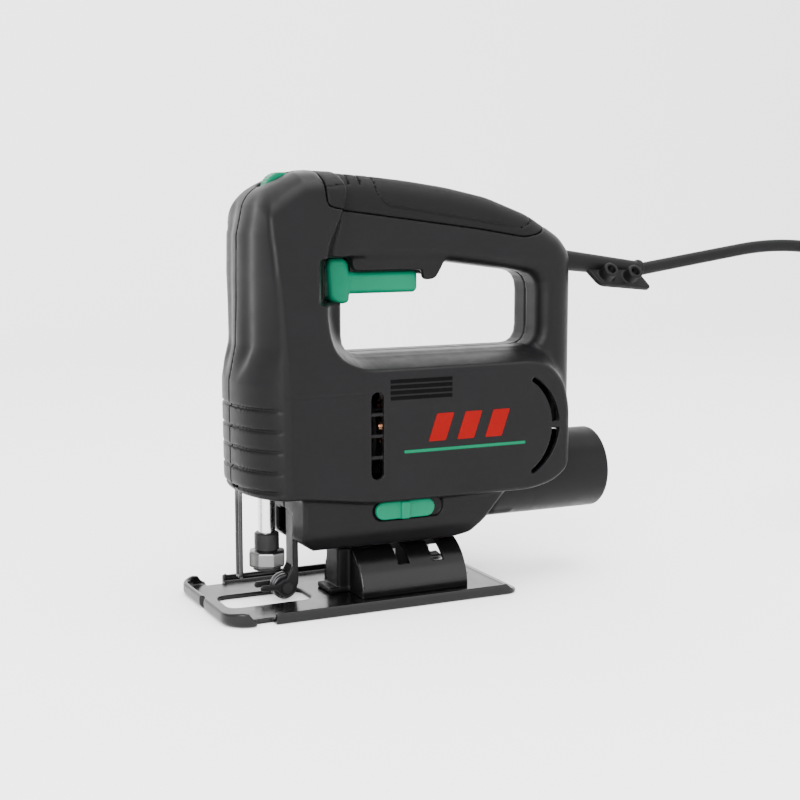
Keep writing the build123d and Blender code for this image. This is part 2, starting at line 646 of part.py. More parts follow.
def slider_knob():
    """Green knob of the blower slide with its middle rib and stem."""
    knob = side_plate(slot_face(-33.4, -2.9, 40.2, 48.8, 4.2), LOWER_Y - 1.2, LOWER_Y + 1.4)
    rib = box(-19.6, -15.4, LOWER_Y + 1.4, LOWER_Y + 3.2, 40.4, 48.6)
    stem = box(-21.5, -18.0, 11.0, LOWER_Y - 1.2, 42.6, 46.4)
    return knob + rib + stem


def slider_shutter():
    """Sliding shutter plate beside the duct."""
    return box(-34.0, -6.0, 9.6, 11.0, 37.0, 46.4)


# ---------------------------------------------------------------- handle parts
def trigger():
    """Trigger bar with its front shield, hinged at the rear."""
    px, pz = TRIGGER_PIVOT
    bar = box(-33.8, 5.0, -8.4, 8.4, 145.0, 155.4)
    bar = fillet(bar.edges().filter_by(Axis.X).group_by(Axis.Z)[0], 2.4)
    shield = side_plate(polygon((2.0, 142.0), (3.6, 140.6), (9.6, 140.6), (12.0, 143.0), (13.2, 159.0),
                                (12.0, 162.0), (4.6, 162.0), (3.0, 159.4)), -9.0, 9.0)
    hidden = box(-39.0, 1.0, -6.5, 6.5, 154.0, 159.6) + rod_y(3.4, -6.5, 6.5, px, pz)
    post = box(-11.0, -5.0, -3.0, 3.0, 158.0, 160.9)
    return bar + shield + hidden + post - rod_y(1.5 + GAP, -10, 10, px, pz)


def trigger_pin():
    return rod_y(1.5, -10.5, 10.5, *TRIGGER_PIVOT)


def switch_body():
    """Switch block in the handle with a socket for its plunger."""
    block = box(-32.0, 4.0, -8.0, 8.0, 171.0, 190.0)
    socket = box(-14.8, -3.4, -3.3, 3.3, 170.0, 182.0)
    seat = rod_z(4.0, 170.0, 172.0, -22.0)
    return block - socket - seat


def switch_plunger():
    """Push pin on the trigger's post, reaching into the switch."""
    return box(-11.5, -4.5, -3.0, 3.0, 160.9, 174.0)


def trigger_spring():
    return Pos(-22.0, 0, 159.6) * coil_spring(3.0, 0.4, 12.4, 5)


def speed_dial():
    """Knurled thumbwheel."""
    rim = Circle(DIAL_R)
    for k in range(30):
        rim -= Rot(0, 0, 12 * k) * Pos(DIAL_R, 0) * Rot(0, 0, 45) * Rectangle(0.8, 0.8)
    wheel = Pos(DIAL_X, 0, DIAL_Z) * side_plate(rim, -DIAL_W / 2, DIAL_W / 2)
    return wheel - rod_y(1.5 + GAP, -6, 6, DIAL_X, DIAL_Z)


def speed_potentiometer():
    """Round potentiometer beside the thumbwheel, with its spindle."""
    can = rod_y(5.5, -13.0, -4.3, DIAL_X, DIAL_Z - 3.2)
    return can + rod_y(1.5, -4.4, 4.4, DIAL_X, DIAL_Z)


def capacitor():
    return fillet(box(-74.0, -54.0, -5.0, 5.0, 165.0, 179.0).edges().filter_by(Axis.Y), 2.0)


def inner_leads():
    """Two insulated leads from the cord clamp to the switch."""
    group = []
    for y in (-9.6, 9.6):
        route = [(-99.0, y, 163.0), (-84.0, y, 166.0), (-60.0, y, 172.0), (-33.0, y, 178.0)]
        path = FilletPolyline(*route, radius=6.0)
        group.append(sweep(Plane(path @ 0, z_dir=path % 0) * Circle(1.1), path=path))
    return Compound(children=group)


def cord_clamp():
    """Strap that grips the cord inside the handle."""
    strap = box(-108.0, -100.0, -10.8, 10.8, 160.6, 164.6)
    return strap - rod_z(1.6, 150, 170, -104.0, 7.6) - rod_z(1.6, 150, 170, -104.0, -7.6)


def cord_clamp_screws():
    group = []
    for y in (-7.6, 7.6):
        group.append(rod_z(1.55, 157.0, 164.6, -104.0, y) + rod_z(2.8, 164.6, 166.4, -104.0, y))
    return Compound(children=group)


# ---------------------------------------------------------------- cord
KEY_SOCKETS = ((-141.5, 147.8), (-155.5, 146.2))
KEY_SOCKET_R = 2.3
SLEEVE_START = (-114.0, 0.0, 159.0)
SLEEVE_END = (-166.0, 0.0, 152.6)


SLEEVE_LENGTH = hypot(SLEEVE_START[0] - SLEEVE_END[0], SLEEVE_START[2] - SLEEVE_END[2])


def sleeve_plane():
    """Plane at the sleeve's inner end, facing along it."""
    return Plane(Vector(*SLEEVE_START), z_dir=Vector(*SLEEVE_END) - Vector(*SLEEVE_START))


def cord_sleeve():
    """Tapered rubber sleeve with a bead at its end."""
    cone = Pos(0, 0, SLEEVE_LENGTH / 2) * Cone(5.3, 4.0, SLEEVE_LENGTH)
    bead = Pos(0, 0, SLEEVE_LENGTH - 2.0) * Cylinder(4.9, 4.0)
    return sleeve_plane() * (cone + bead)


def key_holder():
    """Rubber flap under the sleeve with two sockets for the sole key."""
    outline = polygon((-129.0, 158.0), (-160.0, 155.0), (-167.0, 139.6), (-137.0, 143.2))
    flap = side_plate(outline, -1.6, 1.6)
    for x, z in KEY_SOCKETS:
        flap += rod_y(KEY_SOCKET_R + 1.7, 0, 8.0, x, z)
    for x, z in KEY_SOCKETS:
        flap -= rod_y(KEY_SOCKET_R, -3, 9.0, x, z)
    flap = Pos(0, 0, 156.0) * Rot(35, 0, 0) * Pos(0, 0, -156.0) * flap
    return flap - cord_sleeve()


ARRIVAL_X = COIL_X + COIL_R_OUT
CORD_ROUTE = [
    SLEEVE_END,
    (-212.0, 0.0, 159.2),
    (-250.0, 0.0, 164.5),
    (-286.0, 3.0, 162.0),
    (-312.0, 20.0, 142.0),
    (-325.0, 38.0, 112.0),
    (ARRIVAL_X, 50.0, 80.0),
    (ARRIVAL_X, 50.0, 56.0),
    (ARRIVAL_X, 39.4, 37.8),
    (ARRIVAL_X, 21.0, COIL_TOP),
    (ARRIVAL_X, 0.0, COIL_TOP),
]


def cord_radii():
    """Bend radius at each inner route point, from its shorter run and its turn."""
    points = [Vector(*p) for p in CORD_ROUTE]
    radii = []
    for a, b, c in zip(points, points[1:], points[2:]):
        turn = radians((b - a).get_angle(c - b))
        shorter = min((b - a).length, (c - b).length)
        radii.append(0.45 * shorter / tan(turn / 2))
    return radii


def power_cord():
    radii = cord_radii()
    path = FilletPolyline(*CORD_ROUTE, radius=radii)
    cord = sweep(Plane(path @ 0, z_dir=path % 0) * Circle(CORD_D / 2), path=path)
    print("cord radii", [round(r, 1) for r in radii], "volume", round(cord.volume),
          "section x length", round(pi * CORD_D ** 2 / 4 * path.length), "length", round(path.length, 1))
    return cord


def cord_coil():
    """Hank of cord lying on the floor, as the solid its turns fill."""
    outer, inner = COIL_R_OUT + CORD_D / 2, COIL_R_IN - CORD_D / 2
    top = COIL_TOP + CORD_D / 2
    ring = rod_z(outer, 0, top, COIL_X, COIL_Y) - rod_z(inner, -1, top + 1, COIL_X, COIL_Y)
    edges = ring.edges().filter_by(GeomType.CIRCLE)
    return fillet(edges, 2.4)


def plug_axis():
    top = COIL_TOP + CORD_D / 2
    return COIL_X + 8.0, COIL_Y - COIL_R_IN, top + PLUG_T / 2


def plug_body():
    """Two-pin mains plug lying on the coil."""
    x, y, z = plug_axis()
    body = box(x - PLUG_L, x, y - PLUG_W / 2, y + PLUG_W / 2, z - PLUG_T / 2, z + PLUG_T / 2)
    body = chamfer(body.edges().filter_by(Axis.X), 4.0)
    return chamfer(body.edges().filter_by(Axis.Z).group_by(Axis.X)[-1], 6.0)


def plug_pins():
    x, y, z = plug_axis()
    group = []
    for s in (-0.5, 0.5):
        group.append(rod_x(PIN_R, x - PLUG_L - PIN_L, x - PLUG_L, y + s * PIN_GAP, z))
    return Compound(children=group)


# ---------------------------------------------------------------- build
def build():
    base = housing_half()
    return {
        "housing_left": housing_left(base),
        "housing_right": housing_right(base),
        "housing_screws": housing_screws(),
        "grip_left": handle_skin(1),
        "grip_right": handle_skin(-1),
        "gear_case": gear_case(),
        "bearing_plate": bearing_plate(),
        "front_bearing": ball_bearing(11.0, 4.0, 4.0, 11.0),
        "rear_bearing": ball_bearing(9.5, 3.0, -94.0, -88.0),
        "stator_core": stator_core(),
        "field_coils": field_coils(),
        "brush_holders": brush_holders(),
        "carbon_brushes": carbon_brushes(),
        "brush_springs": brush_springs(),
        "armature_shaft": armature_shaft(),
        "armature_core": armature_core(),
        "armature_windings": armature_windings(),
        "commutator": commutator(),
        "cooling_fan": cooling_fan(),
        "motor_pinion": motor_pinion(),
        "drive_gear": drive_gear(),
        "crank_pin": crank_pin(),
        "gear_shaft": gear_shaft(),
        "lower_bush": plunger_bush(57.0, 68.0),
        "upper_bush": plunger_bush(133.0, 143.0),
        "plunger_seal": plunger_seal(),
        "plunger_bar": plunger_bar(),
        "plunger_yoke": plunger_yoke(),
        "clamp_body": clamp_body(),
        "clamp_ring": clamp_ring(),
        "clamp_circlip": clamp_circlip(),
        "blade_guard_wire": blade_guard_wire(),
        "roller_bracket": roller_bracket(),
        "roller_pin": roller_pin(),
        "guide_roller": guide_roller(),
        "sole_plate": sole_plate(),
        "tilt_cradle": tilt_cradle(),
        "sole_clamp_plate": sole_clamp_plate(),
        "sole_bolts": sole_bolts(),
        "dust_port": dust_port(),
        "dust_duct": dust_duct(),
        "slider_knob": slider_knob(),
        "slider_shutter": slider_shutter(),
        "trigger": trigger(),
        "trigger_pin": trigger_pin(),
        "trigger_spring": trigger_spring(),
        "switch_body": switch_body(),
        "switch_plunger": switch_plunger(),
        "speed_dial": speed_dial(),
        "speed_potentiometer": speed_potentiometer(),
        "capacitor": capacitor(),
        "inner_leads": inner_leads(),
        "cord_clamp": cord_clamp(),
        "cord_clamp_screws": cord_clamp_screws(),
        "cord_sleeve": cord_sleeve(),
        "key_holder": key_holder(),
        "power_cord": power_cord(),
        "cord_coil": cord_coil(),
        "plug_body": plug_body(),
        "plug_pins": plug_pins(),
    }


os.makedirs("parts", exist_ok=True)
for name, shape in build().items():
    export_step(shape, f"parts/{name}.step")
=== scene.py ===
"""Corded jigsaw on its sole: look of every piece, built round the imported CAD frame.

Lengths in the piece code are millimetres and are turned into metres when a mesh is made.
+X points towards the blade, +Y is the tool's left side, +Z is up.
"""
import math

import bpy
import numpy as np
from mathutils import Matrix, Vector


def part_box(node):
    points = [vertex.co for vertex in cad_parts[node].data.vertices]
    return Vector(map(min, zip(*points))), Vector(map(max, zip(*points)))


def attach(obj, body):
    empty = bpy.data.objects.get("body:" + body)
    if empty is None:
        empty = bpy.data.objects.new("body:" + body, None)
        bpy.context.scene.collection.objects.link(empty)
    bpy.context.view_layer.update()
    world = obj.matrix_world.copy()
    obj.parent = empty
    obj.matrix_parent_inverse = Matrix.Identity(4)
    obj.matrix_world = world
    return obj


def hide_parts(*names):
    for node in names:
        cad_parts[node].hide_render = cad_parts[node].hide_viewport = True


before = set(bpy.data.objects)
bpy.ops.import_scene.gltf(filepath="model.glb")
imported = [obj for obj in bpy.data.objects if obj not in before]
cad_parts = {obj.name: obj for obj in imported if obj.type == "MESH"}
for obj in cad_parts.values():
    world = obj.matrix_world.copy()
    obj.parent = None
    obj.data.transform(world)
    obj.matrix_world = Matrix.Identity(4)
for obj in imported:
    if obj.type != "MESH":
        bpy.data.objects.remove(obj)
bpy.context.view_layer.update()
MM = 0.001

# ------------------------------------------------------------------ axes and sizes that pieces share
BODY_Y, LOWER_Y, LOOP_Y = 33.0, 26.0, 16.0      # half widths of motor body, lower housing and handle
REAR_X = -118.5                                 # rear face of the handle
WALL, SEAM = 2.3, 0.16                          # thickness of the shells, half the gap between them
CHEEK_X, CHEEK_Z = -70.1, 80.6                  # centre of the rear cheek's round vents
PORT_R, PORT_BORE, PORT_Z = 20.45, 17.5, 51.7   # dust outlet, along X
TILT_Z = 2.3                                    # top of the sole's sheet and axis of the saddle
CRADLE_OUT, CRADLE_IN = 23.9, 21.9              # radii of the saddle
BOLT_X = (-21.0, -39.4)                         # bolts through the saddle's slots
CLAMP_X = 41.5                                  # plunger and twist ring, along Z
ROLLER_X, ROLLER_Z = 33.4, 7.2                  # guide roller, along Y
TRIGGER_X, TRIGGER_Z = -37.0, 157.0             # trigger's pin, along Y
DIAL_X, DIAL_Z = 33.6, 193.3                    # thumbwheel, along Y
WINDOW_X, WINDOW_Z = 36.4, 199.2                # middle of the thumbwheel's window
GUARD_X, GUARD_Y, WIRE_R = 55.2, 2.25, 1.0      # hairpin guard wire

# ------------------------------------------------------------------ camera
PAN, TILT = math.radians(25.592), math.radians(7.938)
CAMERA_AT, LENS = (0.27797, 0.63899, 0.19112), 66.34


def make_camera():
    data = bpy.data.cameras.new("camera")
    data.sensor_width, data.lens = 36.0, LENS
    data.clip_start, data.clip_end = 0.02, 20.0
    camera = bpy.data.objects.new("camera", data)
    bpy.context.scene.collection.objects.link(camera)
    camera.location = CAMERA_AT
    back = Vector((math.sin(PAN) * math.cos(TILT), math.cos(PAN) * math.cos(TILT), math.sin(TILT)))
    camera.rotation_mode = "QUATERNION"
    camera.rotation_quaternion = (-back).to_track_quat("-Z", "Y")
    bpy.context.scene.camera = camera


# ------------------------------------------------------------------ materials
def noise(tree, coords, scale, detail=2.0, rough=0.5):
    node = tree.nodes.new("ShaderNodeTexNoise")
    node.inputs["Scale"].default_value = scale
    node.inputs["Detail"].default_value = detail
    node.inputs["Roughness"].default_value = rough
    tree.links.new(coords, node.inputs["Vector"])
    return node.outputs["Fac"]


def remap(tree, value, low, high, from_low=0.3, from_high=0.7):
    node = tree.nodes.new("ShaderNodeMapRange")
    node.inputs["From Min"].default_value = from_low
    node.inputs["From Max"].default_value = from_high
    node.inputs["To Min"].default_value = low
    node.inputs["To Max"].default_value = high
    tree.links.new(value, node.inputs["Value"])
    return node.outputs["Result"]


def ramp(tree, value, low, high):
    node = tree.nodes.new("ShaderNodeValToRGB")
    first, last = node.color_ramp.elements
    first.position, last.position = 0.3, 0.7
    first.color, last.color = (*low, 1.0), (*high, 1.0)
    tree.links.new(value, node.inputs["Fac"])
    return node.outputs["Color"]


def stretched(tree, coords, scale):
    node = tree.nodes.new("ShaderNodeMapping")
    node.inputs["Scale"].default_value = scale
    tree.links.new(coords, node.inputs["Vector"])
    return node.outputs["Vector"]


def surface(name, colour, rough, metallic=0.0, vary=0.10, grain=1400.0, bump=0.10, depth=0.00006,
            wear=0.0, brushed=None, shine=0.5):
    """Procedural material: broad colour variation, mottled roughness, fine or brushed grain, edge wear."""
    made = bpy.data.materials.new(name)
    made.use_nodes = True
    tree = made.node_tree
    shader = tree.nodes["Principled BSDF"]
    coords = tree.nodes.new("ShaderNodeTexCoord").outputs["Object"]
    fine_coords = stretched(tree, coords, brushed) if brushed else coords
    dark = tuple(c * (1.0 - vary) for c in colour)
    light = tuple(min(1.0, c * (1.0 + vary)) for c in colour)
    tint = ramp(tree, noise(tree, coords, 34.0, 3.0), dark, light)
    if wear:
        worn = tuple(min(1.0, c + wear * (0.55 - 0.4 * c)) for c in colour)
        edges = tree.nodes.new("ShaderNodeNewGeometry").outputs["Pointiness"]
        mask = remap(tree, edges, 0.0, 1.0, 0.53, 0.60)
        mix = tree.nodes.new("ShaderNodeMix")
        mix.data_type = "RGBA"
        tree.links.new(mask, mix.inputs["Factor"])
        tree.links.new(tint, mix.inputs["A"])
        mix.inputs["B"].default_value = (*worn, 1.0)
        tint = mix.outputs["Result"]
    tree.links.new(tint, shader.inputs["Base Color"])
    mottle = noise(tree, coords, 120.0, 4.0, 0.6)
    tree.links.new(remap(tree, mottle, rough - 0.05, rough + 0.05), shader.inputs["Roughness"])
    shader.inputs["Metallic"].default_value = metallic
    shader.inputs["Specular IOR Level"].default_value = shine
    relief = tree.nodes.new("ShaderNodeBump")
    relief.inputs["Strength"].default_value = bump
    relief.inputs["Distance"].default_value = depth
    tree.links.new(noise(tree, fine_coords, grain, 3.0, 0.6), relief.inputs["Height"])
    tree.links.new(relief.outputs["Normal"], shader.inputs["Normal"])
    return made


PAINT = {
    "body": surface("charcoal_moulding", (0.0030, 0.0027, 0.0031), 0.40, grain=2600.0, bump=0.35, wear=0.006,
                    shine=0.10),
    "grip": surface("grip_skin", (0.0032, 0.0030, 0.0033), 0.55, grain=1900.0, bump=0.5, depth=0.0001,
                    shine=0.08),
    # near-black painted shade for the trigger's stem, which is really part of the green trigger: it stands
    # for the shadow under the handle
    "painted_shade_stem": surface("stem_painted_shade", (0.004, 0.004, 0.0042), 0.6, grain=1500.0, shine=0.15),
    "green": surface("green_moulding", (0.000, 0.098, 0.050), 0.34, vary=0.07, grain=2200.0, bump=0.2,
                     wear=0.004, shine=0.08),
    "green_print": surface("green_print", (0.0, 0.085, 0.040), 0.45, vary=0.05, shine=0.05),
    "red_print": surface("red_print", (0.125, 0.0008, 0.0008), 0.45, vary=0.06, shine=0.05),
    "patch": surface("grey_print", (0.0010, 0.0010, 0.0011), 0.55, vary=0.2, shine=0.03),
    "sole": surface("black_enamel", (0.0020, 0.0019, 0.0021), 0.22, vary=0.15, grain=420.0, bump=0.10,
                    depth=0.0002, wear=0.015, shine=0.22),
    "cradle": surface("black_coating", (0.0018, 0.0017, 0.0019), 0.50, vary=0.15, grain=520.0, bump=0.2,
                      depth=0.0002, wear=0.006, shine=0.10),
    "gunmetal": surface("gunmetal", (0.030, 0.029, 0.0305), 0.30, metallic=0.9, vary=0.15, grain=900.0,
                        bump=0.2, wear=0.15),
    "blackened": surface("blackened_steel", (0.006, 0.0058, 0.0062), 0.40, metallic=0.15, wear=0.01,
                         shine=0.15),
    "steel": surface("bright_steel", (0.62, 0.62, 0.61), 0.20, metallic=1.0, vary=0.06, grain=900.0,
                     brushed=(1.0, 1.0, 0.05), bump=0.2, wear=0.1),
    "satin": surface("satin_steel", (0.14, 0.14, 0.138), 0.34, metallic=1.0, vary=0.08, grain=1200.0,
                     bump=0.3, wear=0.15),
    "casting": surface("die_casting", (0.16, 0.16, 0.165), 0.48, metallic=0.9, vary=0.12, grain=700.0,
                       bump=0.5),
    "copper": surface("copper_wire", (0.72, 0.30, 0.14), 0.34, metallic=1.0, grain=2400.0,
                      brushed=(0.1, 1.0, 1.0), bump=0.6),
    "varnished": surface("varnished_wire", (0.070, 0.022, 0.010), 0.30, metallic=0.4, grain=2400.0,
                         brushed=(0.1, 1.0, 1.0), bump=0.6),
    "bronze": surface("sintered_bronze", (0.46, 0.30, 0.13), 0.46, metallic=1.0, grain=3000.0, bump=0.4),
    "core": surface("laminated_core", (0.20, 0.20, 0.21), 0.42, metallic=0.9, grain=1400.0,
                    brushed=(1.0, 0.02, 0.02), bump=0.6),
    "inner": surface("black_inner_moulding", (0.003, 0.003, 0.0032), 0.50, grain=1200.0, shine=0.10),
    "pale": surface("pale_moulding", (0.62, 0.60, 0.54), 0.42, vary=0.05, grain=1500.0),
    "carbon": surface("carbon_block", (0.035, 0.035, 0.037), 0.62, grain=2600.0, bump=0.5),
    "rubber": surface("cord_rubber", (0.0030, 0.0028, 0.0031), 0.50, grain=1700.0, bump=0.35, depth=0.0001,
                      shine=0.10),
}


# ------------------------------------------------------------------ distance fields
def grid(low, high, pitch):
    """Open grid over a box, as three arrays that broadcast together."""
    sides = [np.arange(a, b + pitch, pitch, dtype=np.float32) for a, b in zip(low, high)]
    return sides[0][:, None, None], sides[1][None, :, None], sides[2][None, None, :]


def join(*fields):
    made = fields[0]
    for f in fields[1:]:
        made = np.minimum(made, f)
    return made


def meet(*fields):
    made = fields[0]
    for f in fields[1:]:
        made = np.maximum(made, f)
    return made


def cut(a, *tools):
    for t in tools:
        a = np.maximum(a, -t)
    return a


def round_meet(a, b, r):
    """Both at once, with the edge between them rounded."""
    return np.minimum(np.maximum(a, b) + r, 0) + np.hypot(np.maximum(a + r, 0), np.maximum(b + r, 0)) - r


def blend_join(a, b, r):
    """Either of two, with a smooth fillet between them."""
    h = np.maximum(r - np.abs(a - b), 0) / r
    return np.minimum(a, b) - h * h * r * 0.25


def block(x, y, z, low, high, r=0.0):
    """Box between two corners with rounded edges."""
    d = [np.abs(v - (a + b) / 2) - ((b - a) / 2 - r) for v, a, b in zip((x, y, z), low, high)]
    out = np.sqrt(np.maximum(d[0], 0) ** 2 + np.maximum(d[1], 0) ** 2 + np.maximum(d[2], 0) ** 2)
    return out + np.minimum(np.maximum(np.maximum(d[0], d[1]), d[2]), 0) - r


def rod(u, v, w, r, low, high, edge=0.3):
    """Cylinder along w between two heights, centred on u = v = 0."""
    return round_meet(np.hypot(u, v) - r, np.abs(w - (low + high) / 2) - (high - low) / 2, edge)


def stadium(u, v, low, high, r):
    """Flat rounded slot between two corners."""
    du = np.abs(u - (low[0] + high[0]) / 2) - ((high[0] - low[0]) / 2 - r)
    dv = np.abs(v - (low[1] + high[1]) / 2) - ((high[1] - low[1]) / 2 - r)
    return np.hypot(np.maximum(du, 0), np.maximum(dv, 0)) + np.minimum(np.maximum(du, dv), 0) - r


def eased(points, r):
    """Closed outline with its corners rounded."""
    made = []
    for a, b, c in zip(points[-1:] + points[:-1], points, points[1:] + points[:1]):
        a, b, c = np.array(a, float), np.array(b, float), np.array(c, float)
        la, lc = np.linalg.norm(a - b), np.linalg.norm(c - b)
        p, q = b + (a - b) * min(r, la / 2) / la, b + (c - b) * min(r, lc / 2) / lc
        for t in (0.0, 0.25, 0.5, 0.75, 1.0):
            made.append(tuple((1 - t) ** 2 * p + 2 * t * (1 - t) * b + t * t * q))
    return made


def inside_of(u, v, points):
    """Signed distance from a closed outline, negative inside."""
    nearest, odd = None, None
    for (ax, ay), (bx, by) in zip(points, points[1:] + points[:1]):
        ex, ey = bx - ax, by - ay
        size = ex * ex + ey * ey
        if size < 1e-12:
            continue
        wx, wy = u - ax, v - ay
        t = np.clip((wx * ex + wy * ey) / size, 0, 1)
        d = (wx - ex * t) ** 2 + (wy - ey * t) ** 2
        nearest = d if nearest is None else np.minimum(nearest, d)
        if ay != by:
            crossed = ((ay <= v) != (by <= v)) & (u < ax + (v - ay) * ex / ey)
            odd = crossed if odd is None else odd ^ crossed
    return np.where(odd, -1.0, 1.0).astype(np.float32) * np.sqrt(nearest).astype(np.float32)


def nets(field, low, pitch):
    """Quads of the zero surface: one vertex a cell, at the mean of its edge crossings."""
    neg = field < 0
    shape = tuple(n - 1 for n in field.shape)
    corners = [(i, j, k) for i in (0, 1) for j in (0, 1) for k in (0, 1)]
    count = np.zeros(shape, np.int8)
    for i, j, k in corners:
        count += neg[i:i + shape[0], j:j + shape[1], k:k + shape[2]]
    cell = (count > 0) & (count < 8)
    where = np.argwhere(cell)
    number = np.full(shape, -1, np.int32)
    number[cell] = np.arange(len(where))
    value = [field[where[:, 0] + i, where[:, 1] + j, where[:, 2] + k] for i, j, k in corners]
    total, hits = np.zeros((len(where), 3)), np.zeros(len(where))
    for a in range(8):
        for bit in (1, 2, 4):
            b = a | bit
            if b == a:
                continue
            va, vb = value[a], value[b]
            hit = (va < 0) != (vb < 0)
            t = np.where(hit, va / np.where(hit, va - vb, 1.0), 0.0)
            ca, cb = np.array(corners[a]), np.array(corners[b])
            total += np.where(hit[:, None], ca + t[:, None] * (cb - ca), 0.0)
            hits += hit
    verts = (where + total / hits[:, None]) * pitch + np.array(low)
    quads = []
    for axis in range(3):
        u, v = (axis + 1) % 3, (axis + 2) % 3
        one, two = [slice(None)] * 3, [slice(None)] * 3
        one[axis], two[axis] = slice(0, -1), slice(1, None)
        change = neg[tuple(one)] != neg[tuple(two)]
        at = np.argwhere(change)
        at = at[(at[:, u] > 0) & (at[:, v] > 0) & (at[:, u] < shape[u]) & (at[:, v] < shape[v])]
        ring = []
        for du, dv in ((1, 1), (0, 1), (0, 0), (1, 0)):
            c = at.copy()
            c[:, u] -= du
            c[:, v] -= dv
            ring.append(number[c[:, 0], c[:, 1], c[:, 2]])
        ring = np.stack(ring, 1)
        starts = neg[at[:, 0], at[:, 1], at[:, 2]]
        quads.append(np.where(starts[:, None], ring, ring[:, ::-1]))
    return verts, np.concatenate(quads)


def mesh_object(name, verts, faces, paint):
    mesh = bpy.data.meshes.new(name)
    verts, faces = np.asarray(verts, float) * MM, np.asarray(faces, np.int32)
    mesh.vertices.add(len(verts))
    mesh.vertices.foreach_set("co", verts.astype(np.float32).ravel())
    mesh.loops.add(faces.size)
    mesh.loops.foreach_set("vertex_index", faces.ravel())
    mesh.polygons.add(len(faces))
    mesh.polygons.foreach_set("loop_start", np.arange(0, faces.size, faces.shape[1], dtype=np.int32))
    mesh.update(calc_edges=True)
    mesh.validate()
    mesh.polygons.foreach_set("use_smooth", np.full(len(mesh.polygons), True))
    mesh.materials.append(PAINT[paint])
    made = bpy.data.objects.new(name, mesh)
    bpy.context.scene.collection.objects.link(made)
    return made


def sculpt(name, shape, low, high, pitch, paint, body, slot, *nodes):
    """Piece meshed from a distance field over a box, riding on its body."""
    verts, quads = nets(shape(*grid(low, high, pitch)).astype(np.float32), low, pitch)
    return settle(mesh_object(name, verts, quads, paint), body, slot, *nodes)


def settle(piece, body, slot, *nodes):
    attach(piece, body)
    if nodes:
        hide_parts(*nodes)
    return piece


# ------------------------------------------------------------------ housing
LOOP = eased([(27, 52), (27, 201.7), (14, 201.5), (-7, 200.0), (-28, 197.8), (-49.5, 194.7), (-71.4, 190.0),
              (-94, 181.6), (-112.5, 170.4), (REAR_X, 162), (REAR_X, 74), (-114, 60), (-102, 52)], 4.0)
OPENING = eased([(7.5, 117.2), (7.5, 160.4), (-46, 159.6), (-97.5, 152.8), (-97.5, 117.2)], 9.0)
BODY = eased([(78, 54.3), (36, 54.3), (0.5, 49.6), (-84, 49.3), (-98, 53), (-108, 63), (-111.5, 76),
              (-111.5, 90), (-108, 104), (-99, 114.5), (-86, 119.0), (4, 118.6), (12.8, 123), (15.6, 134),
              (15.6, 166), (10, 180), (8, 215), (78, 215)], 6.0)
BEVEL = eased([(78, -60), (-111.5, -60), (-111.5, 90), (-108, 104), (-99, 114.5), (-86, 119.0), (4, 118.6),
               (12.8, 123), (15.6, 134), (15.6, 166), (9, 180), (-2, 215), (78, 215)], 6.0)
LOWER_EDGE = 26.8
LOWER = eased([(32.6, 60.0), (32.6, 32.3), (26.6, 27.4), (-13.0, LOWER_EDGE), (-47.7, LOWER_EDGE),
               (-55.8, 28.6), (-72.0, 47.0), (-72.0, 60.0)], 2.0)
PANEL = eased([(-10.0, 215.0), (-9.0, 192.0), (-14.0, 186.0), (-62.0, 178.6), (-85.0, 174.8), (-94.0, 178.0),
               (-104.0, 215.0)], 3.0)
SKIRT = eased([(-45.6, 164.0), (-44.6, 157.6), (-41.0, 151.8), (-38.0, 151.0), (-34.4, 151.2), (-34.0, 155.8),
               (1.0, 155.8), (2.6, 158.5), (2.6, 164.0)], 1.8)
GRIP = eased([(16.6, 215.0), (20.0, 200.4), (20.0, 186.2), (16.0, 185.0), (-62.3, 175.0), (-88.0, 170.8),
              (-96.0, 172.0), (-112.0, 179.0), (-118.0, 215.0)], 3.0)
SCREWS = [(52.0, 73.0), (48.0, 175.0), (-46.0, 186.0), (-92.0, 173.0), (-111.0, 108.0), (-50.0, 50.0),
          (6.0, 50.0)]
SLEEVE_A, SLEEVE_B = (-114.0, 159.0), (-166.0, 152.6)
SLEEVE_L = math.hypot(SLEEVE_A[0] - SLEEVE_B[0], SLEEVE_A[1] - SLEEVE_B[1])
KEY_SOCKETS = ((-141.5, 147.8), (-155.5, 146.2))
HOUSING_BOX, HOUSING_PITCH = ((-124.0, -0.7, 24.0), (62.0, 35.0, 204.5)), 0.7


def nose_front(y, z):
    """X of the nose's front surface: round and bulging below, with a shallow scoop beside the seam above."""
    t = np.clip(np.abs(y) / BODY_Y, 0, 1.1)
    centre = np.interp(z, [20, 54, 60, 100, 106.8, 123, 143, 173, 186.4, 192.2, 215],
                       [55, 56.2, 58.7, 59.0, 58.9, 55.6, 54.9, 54.4, 51.4, 48.9, 38])
    side = np.interp(z, [20, 54, 110, 122, 155, 189, 215], [42, 42.5, 43, 44.1, 47.2, 46.4, 44])
    low = (1 - np.clip(t, 0, 1) ** 2.5) ** 0.74
    high = (1 - np.clip(t, 0, 1) ** 2.2) ** 0.9 - 0.13 * np.exp(-((t - 0.36) / 0.16) ** 2)
    share = np.clip((z - 104.0 - 9.0 * np.minimum(t / 0.5, 1) ** 2) / 14.0, 0, 1)
    share = share * share * (3 - 2 * share)
    return side + (centre - side) * (low + (high - low) * share) + np.where(t > 1, -6.0 * (t - 1), 0.0)


